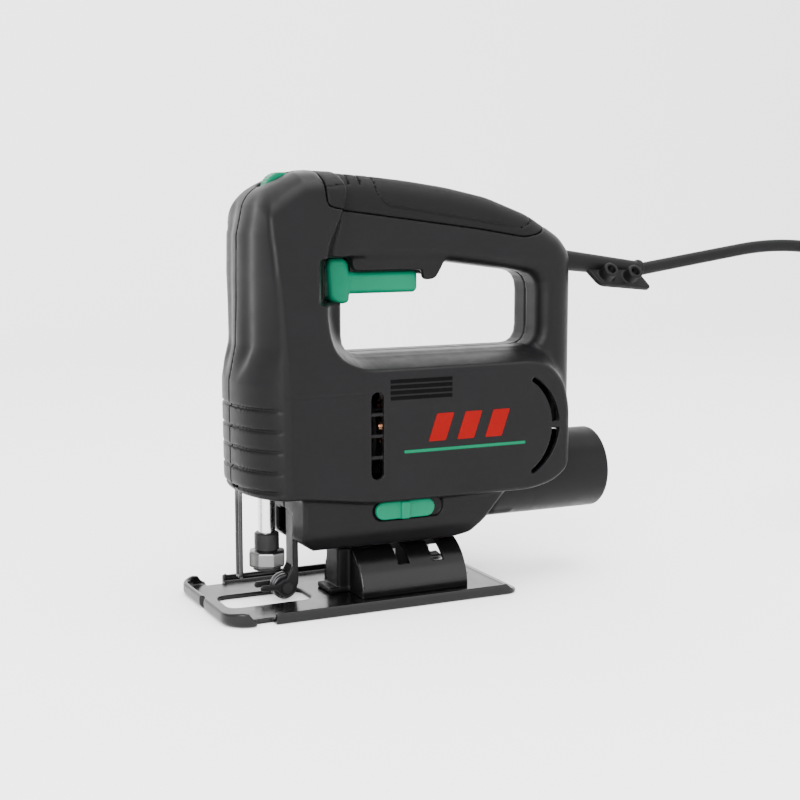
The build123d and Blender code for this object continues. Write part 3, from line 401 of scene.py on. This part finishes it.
def housing_outside(x, y, z):
    """Both halves of the housing as one solid."""
    ay = np.abs(y)
    lean = 11.0 * np.clip((z - 150.0) / 50.0, 0, 1.1) ** 1.6
    slope = (inside_of(x, z, BEVEL) * 17.0 + (ay - LOOP_Y) * 7.6) / 18.6
    body = round_meet(ay + lean - BODY_Y, slope, 2.2)
    body = round_meet(body, inside_of(x, z, BODY), 2.2)
    body = round_meet(body, nose_gap(x, y, z), 2.0)
    crest = np.interp(x, [-130, 14, 23, 30.3, 41.6, 48.9, 60],
                      [201.4, 201.4, 201.8, 201.2, 196.0, 191.9, 183.6])
    roof = (z - crest + 0.022 * np.maximum(ay - 7.0, 0) ** 2) * 0.87
    body = round_meet(body, roof, 2.6)
    loop = round_meet(inside_of(x, z, LOOP), ay - LOOP_Y, 12.5)
    made = blend_join(body, loop, np.interp(z, [0, 120, 165, 188, 210], [3.0, 6.0, 9.0, 2.0, 2.0]))
    made = round_meet(made, -inside_of(x, z, OPENING), 7.0)
    ahead = x - 0.46 * np.maximum(ay - 9.2, 0)
    beside_shield = block(ahead, ay, z, (-6.0, 9.2, 141.7), (16.2, 60.0, 162.4), 1.6)
    made = round_meet(made, -beside_shield, 1.0)
    lower = round_meet(inside_of(x, z, LOWER), ay - LOWER_Y, 2.2)
    lower = round_meet(lower, ((ay - 20.5) * 9.2 - (z - LOWER_EDGE) * 5.5) / 10.7, 1.5)
    return blend_join(made, lower, 4.5)


def nose_gap(x, y, z):
    """Roughly how far a point lies in front of the nose."""
    return (x - nose_front(y, z)) * 0.86


def nose_lines(x, y, z):
    """Five finger grooves round the nose, fading out before the flat side."""
    depth = np.clip((34.5 - np.abs(y)) / 6.0, 0, 1) * 1.15
    wall = -nose_gap(x, y, z) - depth
    grooves = [np.maximum(np.abs(z - (95.5 - 9.4 * k)) - 0.75, wall) for k in range(5)]
    return np.maximum(join(*grooves), 43.0 - x)


def vent_slots(x, z):
    """Flat outlines of the straight slot and the two tapered arcs round the rear cheek."""
    straight = stadium(x, z, (-4.2, 61.0), (2.0, 101.4), 2.9)
    angle = np.abs(np.degrees(np.arctan2(z - CHEEK_Z, -(x - CHEEK_X))))
    ring = np.abs(np.hypot(x - CHEEK_X, z - CHEEK_Z) - 26.3) - (2.2 - 0.018 * angle)
    span = np.maximum(angle - 60.0, 3.4 - angle) * 0.45
    return np.minimum(straight, meet(ring, span, x - CHEEK_X))


def housing_walls(outer, x, y, z):
    """Shell with the lining of the hand opening, barred vents, finger grooves and the seat of the grip."""
    ay = np.abs(y)
    made = np.maximum(outer, -(outer + WALL))
    lining = np.maximum(np.abs(inside_of(x, z, OPENING) - 1.2) - 1.2, ay - LOOP_Y + 2.0)
    made = np.minimum(made, np.maximum(lining, outer))
    made = cut(made, np.maximum(vent_slots(x, z), 26.0 - ay))
    ribs = np.maximum(stadium(x, z, (-5.2, 60.0), (3.0, 102.4), 3.0), np.abs(ay - 31.1) - 0.8)
    for height in (71.0, 81.0, 91.0):
        made = np.minimum(made, np.maximum(ribs, np.abs(z - height) - 0.9))
    shelf = meet(np.abs(z - 101.2) - 0.35, np.abs(x - 24.0) - 19.0, 32.55 - ay)
    grip_seat = np.maximum(inside_of(x, z, GRIP) - 0.35, -(outer + 1.45))
    return cut(made, nose_lines(x, y, z), shelf, grip_seat)


def housing_openings(x, y, z):
    """What both halves leave free for the parts that pass through them."""
    trigger_room = join(block(x, y, z, (-1.0, -9.3, 139.9), (15.4, 9.3, 171.0), 1.5),
                        block(x, y, z, (-41.2, -9.2, 148.0), (5.0, 9.2, 161.5), 1.0),
                        block(x, y, z, (-30.0, -7.6, 156.0), (1.0, 7.6, 165.5), 0.8))
    plunger_hole = block(x, y, z, (33.0, -8.0, 50.0), (50.0, 8.0, 60.0), 1.0)
    guard_holes = rod(x - GUARD_X, np.abs(y) - GUARD_Y, z, WIRE_R + 0.35, 49.0, 60.0)
    duct_mouth = block(x, y, z, (28.0, -9.9, 32.0), (40.0, 9.9, 43.5), 1.0)
    bracket_gap = block(x, y, z, (24.6, -5.4, 20.0), (40.0, 5.4, 44.5), 0.8)
    saddle_gap = block(x, y, z, (-46.4, -9.5, 15.0), (22.6, 9.5, 36.0), 0.8)
    port_gap = join(block(x, y, z, (-84.5, -12.2, 33.8), (-57.0, 12.2, 49.9), 0.5),
                    rod(y, z - PORT_Z, x, PORT_R + 0.25, -150.0, -79.6),
                    np.maximum(rod(y, z - PORT_Z, x, PORT_R + 0.25, -80.0, -68.6), z - 49.4))
    return [trigger_room, plunger_hole, guard_holes, duct_mouth, bracket_gap, saddle_gap, port_gap,
            sleeve_rod(x, y, z, 5.5, -20.0, 60.0), dial_window(x, y, z)]


def add_slide_recess(made, x, y, z):
    """Oblong recess of the slide on the left side, with its floor and the slot for its stem."""
    recess = np.maximum(stadium(x, z, (-38.4, 39.5), (-1.9, 49.4), 4.8), 24.5 - y)
    floor = np.maximum(stadium(x, z, (-39.4, 38.5), (-0.9, 50.4), 5.8), np.abs(y - 23.6) - 0.9)
    slot = block(x, y, z, (-26.5, 20.0, 42.0), (-13.5, 30.0, 47.0), 0.5)
    return np.minimum(cut(made, recess, slot), cut(floor, slot))


def add_screw_wells(made, outer, x, y, z):
    """Round wells on the right side that take the screw heads."""
    for screw_x, screw_z in SCREWS:
        r = np.hypot(x - screw_x, z - screw_z)
        well = meet(np.abs(r - 3.7) - 0.7, y + 8.5, outer + 0.1)
        made = np.minimum(cut(made, np.maximum(r - 3.1, y + 9.0)), well)
    return made


def housing_half(outer, x, y, z, side):
    """One half of the housing: 1 is the left one, -1 the right one."""
    made = cut(housing_walls(outer, x, y, z), *housing_openings(x, y, z))
    below, ay = inside_of(x, z, SKIRT), np.abs(y)
    skirt = join(round_meet(below, np.abs(ay - 11.2) - 1.9, 1.0), meet(below, x + 41.4, ay - 11.0))
    made = blend_join(made, skirt, 3.0)
    if side > 0:
        return add_slide_recess(made, x, y, z)
    return add_screw_wells(made, outer, x, y, z)


def sleeve_axes(x, y, z):
    """Distance along the sleeve from its inner end, and across it."""
    dx, dz = (SLEEVE_B[0] - SLEEVE_A[0]) / SLEEVE_L, (SLEEVE_B[1] - SLEEVE_A[1]) / SLEEVE_L
    along = (x - SLEEVE_A[0]) * dx + (z - SLEEVE_A[1]) * dz
    up = -(x - SLEEVE_A[0]) * dz + (z - SLEEVE_A[1]) * dx
    return along, np.hypot(up, y)


def sleeve_rod(x, y, z, r, low, high):
    along, across = sleeve_axes(x, y, z)
    return np.maximum(across - r, np.abs(along - (low + high) / 2) - (high - low) / 2)


def dial_window(x, y, z):
    """Oblong window square to the sloping top."""
    slope = math.atan2(9.8, 18.6)
    u = (x - WINDOW_X) * math.cos(slope) - (z - WINDOW_Z) * math.sin(slope)
    w = (x - WINDOW_X) * math.sin(slope) + (z - WINDOW_Z) * math.cos(slope)
    return np.maximum(stadium(u, y, (-8.5, -4.5), (8.5, 4.5), 3.0), np.abs(w) - 6.0)


def grip_skin(outer, x, z):
    """Soft cover on top of the handle, with the outline of its panel and two short cross grooves."""
    skin = round_meet(inside_of(x, z, GRIP), outer + 0.15, 0.8)
    skin = np.maximum(skin, -(outer + 1.35))
    lines = [np.abs(inside_of(x, z, PANEL)) - 0.4]
    for groove_x in (-0.5, 5.5):
        lines.append(np.maximum(np.abs(x - groove_x + 0.18 * (z - 190.0)) - 0.5, 195.5 - z))
    return cut(skin, np.maximum(join(*lines), -(outer + 0.7)))


def half_piece(name, field, side, paint, slot, node):
    """Piece meshed from a field over the half with y > 0, and mirrored for the right side."""
    verts, quads = nets(field, HOUSING_BOX[0], HOUSING_PITCH)
    if side < 0:
        verts[:, 1] *= -1
        quads = quads[:, ::-1]
    settle(mesh_object(name, verts, quads, paint), "housing", slot, node)


def build_housing():
    x, y, z = grid(*HOUSING_BOX, HOUSING_PITCH)
    outer = np.array(housing_outside(x, y, z), np.float32)
    for side, word in ((1, "left"), (-1, "right")):
        shell = np.maximum(housing_half(outer, x, y * side, z, side), SEAM - y)
        half_piece(f"shell_{word}", shell, side, "body", "body_plastic", f"housing_{word}")
        skin = np.maximum(grip_skin(outer, x, z), SEAM - y)
        half_piece(f"grip_skin_{word}", skin, side, "grip", "grip_rubber", f"grip_{word}")


# ------------------------------------------------------------------ printed marks
def plate_on_side(name, outline, y, paint, slot, thick=0.22):
    """Thin flat mark on the left side with a softened edge."""
    pts = np.array(outline, float)
    centre = pts.mean(0)
    rings = []
    for inset, depth in ((0.0, -0.3), (0.0, thick - 0.08), (0.1, thick)):
        ring = pts + (centre - pts) / np.linalg.norm(centre - pts, axis=1)[:, None] * inset
        rings.append(np.column_stack([ring[:, 0], np.full(len(ring), y + depth), ring[:, 1]]))
    n = len(pts)
    verts = np.concatenate(rings)
    mesh = bpy.data.meshes.new(name)
    faces = [(r * n + i, r * n + (i + 1) % n, (r + 1) * n + (i + 1) % n, (r + 1) * n + i)
             for r in range(2) for i in range(n)]
    faces.append(tuple(range(2 * n, 3 * n)))
    mesh.from_pydata([tuple(v * MM) for v in verts], [], faces)
    mesh.update()
    mesh.materials.append(PAINT[paint])
    made = bpy.data.objects.new(name, mesh)
    bpy.context.scene.collection.objects.link(made)
    return settle(made, "housing", slot)


def build_marks():
    """Stripe with three slanted bars over it, and four grey lines for the rating patch."""
    stripe = eased([(-14.5, 72.3), (-14.5, 73.7), (-79.2, 73.7), (-79.2, 72.3)], 0.6)
    plate_on_side("side_stripe", stripe, BODY_Y, "green_print", "green_plastic")
    slant, bar_width = 4.5, 9.0
    for k, front in enumerate((-27.0, -42.0, -57.0)):
        back = front - bar_width
        bar = eased([(front, 77.0), (front - slant, 90.0), (back - slant, 90.0), (back, 77.0)], 0.8)
        plate_on_side(f"side_mark_{k}", bar, BODY_Y, "red_print", "body_plastic")
    for k in range(4):
        low = 97.4 + 2.6 * k
        line = [(-7.5, low), (-7.5, low + 1.8), (-39.5, low + 1.8), (-39.5, low)]
        plate_on_side(f"rating_patch_{k}", line, BODY_Y, "patch", "body_plastic", 0.12)


# ------------------------------------------------------------------ sole and cradle
def sole_shape(x, y, z):
    """Pressed sheet: flat plate with its side flanges and a lip curling up round both front corners."""
    ay = np.abs(y)
    half_l, half_w, t = 74.0, 38.5, TILT_Z
    corner = np.where(x > 0, 12.0, 6.0)
    du, dv = np.abs(x) - (half_l - corner), ay - (half_w - corner)
    plan = np.hypot(np.maximum(du, 0), np.maximum(dv, 0)) + np.minimum(np.maximum(du, dv), 0) - corner
    plate = round_meet(plan, np.abs(z - t / 2) - t / 2, 0.9)
    top = np.interp(x, [-70, -68.5, -67, -65, 48.6, 49.6, 51, 60.4, 62.0, 64.0, 67.0, 74.0],
                    [2.3, 4.0, 5.4, 5.2, 5.2, 5.9, 5.2, 2.4, 3.6, 6.4, 7.0, 6.0])
    lip = round_meet(np.abs(plan + t / 2) - t / 2, (z - top) * 0.8, 0.8)
    lip = np.maximum(lip, -70.0 - x)
    bend = np.where(x > 60.4, 2.6, 1.2)
    made = np.maximum(blend_join(plate, lip, 2.4), round_meet(plan, -z, bend))
    notch = np.maximum(np.abs(x - 55.8) - 4.6, (half_w - 5.0) - ay)
    vee = np.maximum((np.abs(x - half_l) + ay - 3.0) * 0.7, 1.0 - z)
    blade = stadium(x, y, (22.0, -11.0), (64.0, 11.0), 5.0)
    saddle = stadium(x, y, (-50.0, -17.0), (-1.0, 17.0), 3.0)
    hole = np.hypot(x + 62.0, y) - 3.2
    return np.maximum(cut(made, notch, vee, blade, saddle, hole), -z)


def cradle_shape(x, y, z):
    """Half-round saddle with two bolt slots."""
    r = np.hypot(y, z - TILT_Z)
    shell = round_meet(np.maximum(r - CRADLE_OUT, CRADLE_IN - r), np.abs(x + 25.4) - 28.0, 0.7)
    angle = np.abs(np.degrees(np.arctan2(y, z - TILT_Z)))
    for bolt_x in BOLT_X:
        shell = cut(shell, np.maximum(np.abs(x - bolt_x) - 2.9, (angle - 54.0) * 0.4))
    return np.maximum(shell, TILT_Z - z)


def foot_shape(x, y, z):
    """Wall that closes the front of the saddle, with its foot."""
    wall = round_meet(np.hypot(y, z - TILT_Z) - 22.2, np.abs(x - 1.4) - 0.8, 0.5)
    foot = join(block(x, y, z, (1.0, -7.6, TILT_Z), (8.4, 7.6, 24.0), 1.4),
                block(x, y, z, (1.0, -8.0, TILT_Z), (12.8, 8.0, 5.0), 0.8))
    return np.maximum(blend_join(wall, foot, 1.5), TILT_Z - z)


# ------------------------------------------------------------------ dust outlet
def port_shape(x, y, z):
    """Round outlet, flat-roofed under the motor, with its lower half running on into the neck."""
    r = np.hypot(y, z - PORT_Z)
    tube = round_meet(r - PORT_R, np.abs(x + 115.0) - 20.9, 0.9)
    middle = meet(r - 20.4, z - 66.5, np.abs(x + 88.5) - 8.5)
    nose = meet(round_meet(r - 20.4, x + 69.0, 5.0), z - 49.3, -85.0 - x)
    neck = block(x, y, z, (-84.0, -11.8, 34.2), (-57.0, 11.8, 49.4), 1.5)
    made = blend_join(join(np.maximum(tube, x + 94.2), middle, nose), neck, 2.5)
    bore = np.maximum(r - PORT_BORE, x + 99.6)
    chamber = meet(r - 17.0, z - 63.9, np.abs(x + 91.5) - 9.0)
    channel = block(x, y, z, (-90.0, -9.5, 36.3), (-50.0, 9.5, 46.9), 0.3)
    return cut(made, bore, chamber, channel)


# ------------------------------------------------------------------ controls
def trigger_shape(x, y, z):
    """Trigger bar with its front shield."""
    bar = block(x, y, z, (-33.8, -8.4, 145.0), (5.0, 8.4, 155.4), 2.6)
    face = eased([(1.8, 142.0), (3.6, 140.6), (9.6, 140.6), (12.0, 143.0), (13.2, 159.0), (12.0, 162.0),
                  (4.6, 162.0), (2.2, 159.4)], 1.8)
    shield = round_meet(inside_of(x, z, face), np.abs(y) - 9.0, 2.2)
    return blend_join(bar, shield, 1.5)


def stem_shape(x, y, z):
    """Hidden part of the trigger: stem, knuckle on its pin and post for the switch."""
    stem = block(x, y, z, (-39.0, -6.5, 154.0), (1.0, 6.5, 159.6), 0.5)
    knuckle = rod(x - TRIGGER_X, z - TRIGGER_Z, y, 3.4, -6.5, 6.5, 0.4)
    post = block(x, y, z, (-11.0, -3.0, 158.0), (-5.0, 3.0, 160.9), 0.3)
    return cut(join(stem, knuckle, post), np.hypot(x - TRIGGER_X, z - TRIGGER_Z) - 1.6)


def dial_shape(x, y, z):
    """Knurled thumbwheel on its spindle."""
    u, w = x - DIAL_X, z - DIAL_Z
    angle = np.arctan2(w, u)
    knurl = 8.1 - 0.32 * np.abs(np.sin(angle * 15.0)) ** 0.7
    wheel = round_meet(np.hypot(u, w) - knurl, np.abs(y) - 3.8, 0.7)
    return np.maximum(wheel, -(np.hypot(u, w) - 1.6))


def knob_shape(x, y, z):
    """Slide's oblong knob with a rib for the finger, and the stem that reaches the shutter."""
    flat = stadium(x, z, (-33.4, 40.2), (-2.9, 48.8), 4.25)
    knob = round_meet(flat, np.abs(y - 26.1) - 1.3, 0.8)
    rib = block(x, y, z, (-19.8, 25.0, 40.2), (-15.2, 29.2, 48.8), 0.9)
    stem = block(x, y, z, (-21.5, 11.0, 42.6), (-18.0, 25.4, 46.4), 0.3)
    return join(blend_join(knob, rib, 1.0), stem)


def ring_shape(x, y, z):
    """Eight-sided twist ring with a rounded rim."""
    u = x - CLAMP_X
    sector = np.mod(np.arctan2(y, u), math.pi / 4) - math.pi / 8
    eight = np.hypot(u, y) * np.cos(sector) - 8.2
    made = round_meet(eight, np.abs(z - 21.6) - 3.8, 1.1)
    return cut(made, np.hypot(u, y) - 5.15)


def roller_shape(x, y, z):
    """Guide roller with a groove for the back of the blade."""
    u, w = x - ROLLER_X, z - ROLLER_Z
    r = np.hypot(u, w)
    wheel = round_meet(r - 6.2, np.abs(y) - 3.0, 0.9)
    return cut(wheel, np.maximum(5.0 - r, np.abs(y) - 0.7), r - 1.6)


def bracket_shape(x, y, z):
    """Narrow arm and the fork round the roller: round cheeks, each with a prong pointing forwards."""
    arm = block(x, y, z, (27.4, -5.0, 15.0), (30.2, 5.0, 57.0), 0.7)
    u, w = x - ROLLER_X, z - ROLLER_Z
    stay = inside_of(x, z, eased([(27.4, 24.0), (27.4, 8.0), (31.0, 4.6), (35.0, 9.0), (30.2, 17.0),
                                  (30.2, 24.0)], 1.5))
    prong = stadium(x, z, (33.0, 6.2), (46.5, 9.2), 1.5)
    flat = blend_join(join(np.hypot(u, w) - 4.4, stay), prong, 2.0)
    fork = round_meet(flat, np.abs(np.abs(y) - 4.2) - 0.8, 0.6)
    made = cut(join(arm, fork), block(x, y, z, (20.0, -3.4, -5.0), (50.0, 3.4, 17.0), 0.4))
    return cut(made, np.hypot(u, w) - 1.5)


# ------------------------------------------------------------------ sleeve and key holder
def sleeve_shape(x, y, z):
    """Tapered boot with a thin bead at its end."""
    along, across = sleeve_axes(x, y, z)
    cone = round_meet(across - 5.3 + 1.3 * along / SLEEVE_L, np.abs(along - SLEEVE_L / 2) - SLEEVE_L / 2, 0.6)
    bead = round_meet(across - 4.9, np.abs(along - (SLEEVE_L - 1.3)) - 1.3, 0.9)
    return cut(blend_join(cone, bead, 0.6), across - 3.27)


def holder_shape(x, y, z):
    """Flap under the boot with two short sockets for the sole key."""
    lean = math.radians(35.0)
    v = y * math.cos(lean) + (z - 156.0) * math.sin(lean)
    w = -y * math.sin(lean) + (z - 156.0) * math.cos(lean) + 156.0
    outline = eased([(-129.0, 158.0), (-160.0, 155.0), (-167.0, 139.6), (-137.0, 143.2)], 3.0)
    made = round_meet(inside_of(x, w, outline), np.abs(v) - 1.6, 0.8)
    for sx, sz in KEY_SOCKETS:
        made = blend_join(made, rod(x - sx, w - sz, v, 4.0, -1.6, 8.0, 0.9), 1.2)
    for sx, sz in KEY_SOCKETS:
        made = cut(made, np.maximum(np.hypot(x - sx, w - sz) - 2.3, -3.0 - v))
    return made


# name, shape, low corner, high corner, grid pitch, paint, body, slot, node that it stands for
PIECES = [
    ("pressed_sole", sole_shape, (-76, -40.5, -1.5), (76, 40.5, 9), 0.5,
     "sole", "sole", "black_steel", "sole_plate"),
    ("saddle_cradle", cradle_shape, (-55.5, -26, 0), (18, 26, 28), 0.5,
     "sole", "sole", "black_steel", "tilt_cradle"),
    ("cradle_foot", foot_shape, (-1, -24, 0), (16, 24, 26), 0.5,
     "cradle", "sole", "black_steel"),
    ("dust_outlet", port_shape, (-137.5, -22, 29), (-55, 22, 74), 0.6,
     "body", "housing", "body_plastic", "dust_port"),
    ("trigger_bar", trigger_shape, (-42, -10.5, 138.5), (15, 10.5, 165), 0.4,
     "green", "trigger", "green_plastic", "trigger"),
    # stem of the green trigger, drawn in near-black painted shade
    ("trigger_stem", stem_shape, (-42, -8, 152), (3, 8, 162.5), 0.4,
     "painted_shade_stem", "trigger", "green_plastic"),
    ("thumbwheel", dial_shape, (24, -5, 183.5), (43, 5, 203), 0.28,
     "green", "speed_dial", "green_plastic", "speed_dial"),
    ("blower_knob", knob_shape, (-35, 10, 38.5), (-1.5, 30.5, 50.5), 0.35,
     "green", "blower_slider", "green_plastic", "slider_knob"),
    ("twist_ring", ring_shape, (31, -10.5, 16.5), (52, 10.5, 26.5), 0.35,
     "satin", "clamp_ring", "bright_steel", "clamp_ring"),
    ("back_roller", roller_shape, (26, -4, 0), (41, 4, 15), 0.28,
     "gunmetal", "guide_roller", "bright_steel", "guide_roller"),
    ("roller_arm", bracket_shape, (26, -6, 2), (48.5, 6, 58.5), 0.35,
     "blackened", "housing", "dark_steel", "roller_bracket"),
    ("cord_boot", sleeve_shape, (-169, -8, 145), (-112, 8, 168), 0.35,
     "rubber", "housing", "cord_rubber", "cord_sleeve"),
    ("key_flap", holder_shape, (-169, -9, 134), (-126, 20, 161), 0.4,
     "rubber", "housing", "cord_rubber", "key_holder"),
]


# ------------------------------------------------------------------ wires and cord
def tube(name, points, radius, paint, body, slot, *nodes):
    """Round wire or cord along an open curve."""
    curve = bpy.data.curves.new(name, "CURVE")
    curve.dimensions = "3D"
    spline = curve.splines.new("NURBS")
    spline.points.add(len(points) - 1)
    for p, at in zip(spline.points, points):
        p.co = (at[0] * MM, at[1] * MM, at[2] * MM, 1.0)
    spline.order_u = 3
    spline.use_endpoint_u = True
    spline.resolution_u = 12
    curve.bevel_depth = radius * MM
    curve.bevel_resolution = 6
    curve.use_fill_caps = True
    curve.materials.append(PAINT[paint])
    made = bpy.data.objects.new(name, curve)
    bpy.context.scene.collection.objects.link(made)
    return settle(made, body, slot, *nodes)


CORD_D = 6.5
COIL_X, COIL_R_OUT, COIL_R_IN, COIL_TOP = -366.0, 40.5, 33.5, 27.4
CORD_ROUTE = [
    (-166.0, 0.0, 152.6),
    (-212.0, 0.0, 159.2),
    (-250.0, 0.0, 164.5),
    (-286.0, 3.0, 162.0),
    (-312.0, 20.0, 142.0),
    (-325.0, 38.0, 112.0),
    (-325.5, 50.0, 80.0),
    (-325.5, 50.0, 56.0),
    (-325.5, 39.4, 37.8),
    (-325.5, 21.0, 27.4),
    (-325.5, 0.0, 27.4),
]


def coil_points():
    """Turns of the put-away cord: down the outer column, up the inner one, then rising to the plug on top."""
    per_turn, step, low = 16, CORD_D + 0.35, CORD_D / 2 + 0.1
    turns_out, turns_in = 3.5, 3.3125
    made = []
    for k in range(1, int((turns_out + turns_in) * per_turn) + 1):
        turn = k / per_turn
        if turn <= turns_out:
            r, z = COIL_R_OUT, max(COIL_TOP - step * max(turn - 0.35, 0.0), low)
        else:
            share = min((turn - turns_out) / 0.5, 1.0)
            r = COIL_R_OUT + (COIL_R_IN - COIL_R_OUT) * share
            z = low + step * max(turn - turns_out - 0.5, 0.0)
        angle = -2.0 * math.pi * turn
        made.append((COIL_X + r * math.cos(angle), r * math.sin(angle), z))
    rise = 7
    for k in range(1, rise + 1):
        turned = angle - math.radians(127.0) * k / rise
        height = z + (37.6 - z) * (k / rise) ** 1.3
        made.append((COIL_X + COIL_R_IN * math.cos(turned), COIL_R_IN * math.sin(turned), height))
    return made


def plug_shape(x, y, z):
    """Moulded two-pin plug: flat oval nose block, waisted body and ribbed tail."""
    tail_x, mid_y, mid_z = plug_tail()
    u, v, w = tail_x - x, y - mid_y, z - mid_z
    half = np.interp(u, [-1, 0, 8, 16, 28, 36, 37], [6, 6.5, 8.0, 12.5, 16.6, 17.0, 17.0])
    thick = np.interp(u, [-1, 0, 8, 16, 28, 36, 37], [4.6, 5.0, 6.5, 7.8, 8.3, 8.5, 8.5])
    side = round_meet(np.abs(v) - half, np.abs(w) - thick, 3.6)
    made = round_meet(side, np.abs(u - 18.0) - 18.0, 1.2)
    for k in range(4):
        made = np.maximum(made, -np.maximum(np.abs(u - 3.0 - 3.4 * k) - 0.6, -(side + 0.9)))
    return made


def plug_tail():
    """Middle of the plug's face that the cord runs into."""
    low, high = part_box("plug_body")
    return high.x / MM, (low.y + high.y) / 2 / MM, (low.z + high.z) / 2 / MM


def build_cord():
    px, py, pz = plug_tail()
    entry = [(px + 5.0, py + 1.0, pz - 0.5), (px + 1.0, py, pz), (px - 4.0, py, pz)]
    cord = tube("mains_cord", CORD_ROUTE + coil_points() + entry, CORD_D / 2, "rubber", "housing",
                "cord_rubber", "power_cord", "cord_coil")
    low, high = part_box("plug_body")
    plug = sculpt("mains_plug", plug_shape, (low.x / MM - 2, low.y / MM - 1.5, low.z / MM - 1.5),
                  (high.x / MM + 2, high.y / MM + 1.5, high.z / MM + 1.5), 0.5,
                  "rubber", "housing", "cord_rubber", "plug_body")


def build_guard():
    """Hairpin guard wire: two legs and a short foot with tight corners."""
    leg = [(GUARD_Y, 57.0), (GUARD_Y, 30.0), (GUARD_Y, 17.0), (GUARD_Y, 14.6), (1.5, 14.2)]
    bend = leg + [(0.0, 14.2)] + [(-y, z) for y, z in reversed(leg)]
    tube("guard_wire", [(GUARD_X, y, z) for y, z in bend], WIRE_R, "gunmetal", "housing", "bright_steel",
         "blade_guard_wire")


# ------------------------------------------------------------------ carried-over nodes
NODE_PAINT = {
    "satin": ["housing_screws", "cord_clamp_screws", "sole_bolts", "trigger_pin", "front_bearing",
              "rear_bearing", "crank_pin"],
    "steel": ["plunger_bar", "armature_shaft", "gear_shaft", "plug_pins", "trigger_spring", "brush_springs"],
    "blackened": ["roller_pin", "clamp_body", "clamp_circlip", "sole_clamp_plate", "motor_pinion",
                  "drive_gear", "plunger_yoke"],
    "casting": ["gear_case", "bearing_plate"],
    "copper": ["armature_windings", "commutator"],
    "varnished": ["field_coils"],
    "bronze": ["lower_bush", "upper_bush", "brush_holders"],
    "core": ["stator_core", "armature_core"],
    "inner": ["cooling_fan", "dust_duct", "slider_shutter", "switch_body", "cord_clamp",
              "speed_potentiometer", "plunger_seal", "inner_leads"],
    "pale": ["switch_plunger", "capacitor"],
    "carbon": ["carbon_brushes"],
}


def paint_nodes():
    for paint, names in NODE_PAINT.items():
        for name in names:
            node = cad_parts[name]
            node.data.materials.clear()
            node.data.materials.append(PAINT[paint])


# ------------------------------------------------------------------ stage (metres)
def build_stage():
    """Floor that curves up into a back wall."""
    floor = bpy.data.meshes.new("floor")
    front, back, bend, top, half_width, steps = 2.2, -1.1, 0.6, 2.4, 3.0, 12
    rows = [(front, 0.0)]
    for k in range(steps + 1):
        a = math.radians(90.0 * k / steps)
        rows.append((back - bend * math.sin(a), bend - bend * math.cos(a)))
    rows.append((back - bend, top))
    verts = [(x, y, z) for y, z in rows for x in (-half_width, half_width)]
    faces = [(2 * k, 2 * k + 1, 2 * k + 3, 2 * k + 2) for k in range(len(rows) - 1)]
    floor.from_pydata(verts, [], faces)
    floor.update()
    floor.polygons.foreach_set("use_smooth", [True] * len(floor.polygons))
    paint = bpy.data.materials.new("backdrop")
    paint.use_nodes = True
    shader = paint.node_tree.nodes["Principled BSDF"]
    shader.inputs["Base Color"].default_value = (0.93, 0.93, 0.93, 1.0)
    shader.inputs["Roughness"].default_value = 0.75
    floor.materials.append(paint)
    made = bpy.data.objects.new("floor", floor)
    bpy.context.scene.collection.objects.link(made)


def lamp(name, at, towards, size, power):
    """White softbox that faces a point."""
    data = bpy.data.lights.new(name, "AREA")
    data.shape, data.size, data.size_y = "RECTANGLE", size[0], size[1]
    data.energy = power
    made = bpy.data.objects.new(name, data)
    bpy.context.scene.collection.objects.link(made)
    made.location = at
    made.rotation_mode = "QUATERNION"
    made.rotation_quaternion = (Vector(towards) - Vector(at)).to_track_quat("-Z", "Y")


def build_light():
    world = bpy.data.worlds.new("studio")
    bpy.context.scene.world = world
    world.use_nodes = True
    world.node_tree.nodes["Background"].inputs["Color"].default_value = (1.0, 1.0, 1.0, 1.0)
    world.node_tree.nodes["Background"].inputs["Strength"].default_value = 2.6
    lamp("key", (1.0, 1.5, 0.8), (0.03, 0.0, 0.12), (1.0, 1.0), 64.0)
    lamp("top", (-0.1, 0.2, 1.5), (0.0, 0.0, 0.1), (1.4, 1.0), 30.0)
    lamp("fill", (-0.9, 1.3, 0.6), (-0.05, 0.0, 0.1), (1.0, 1.0), 5.0)


make_camera()
build_cord()
build_housing()
build_marks()
for row in PIECES:
    sculpt(*row)
build_guard()
paint_nodes()
build_stage()
build_light()
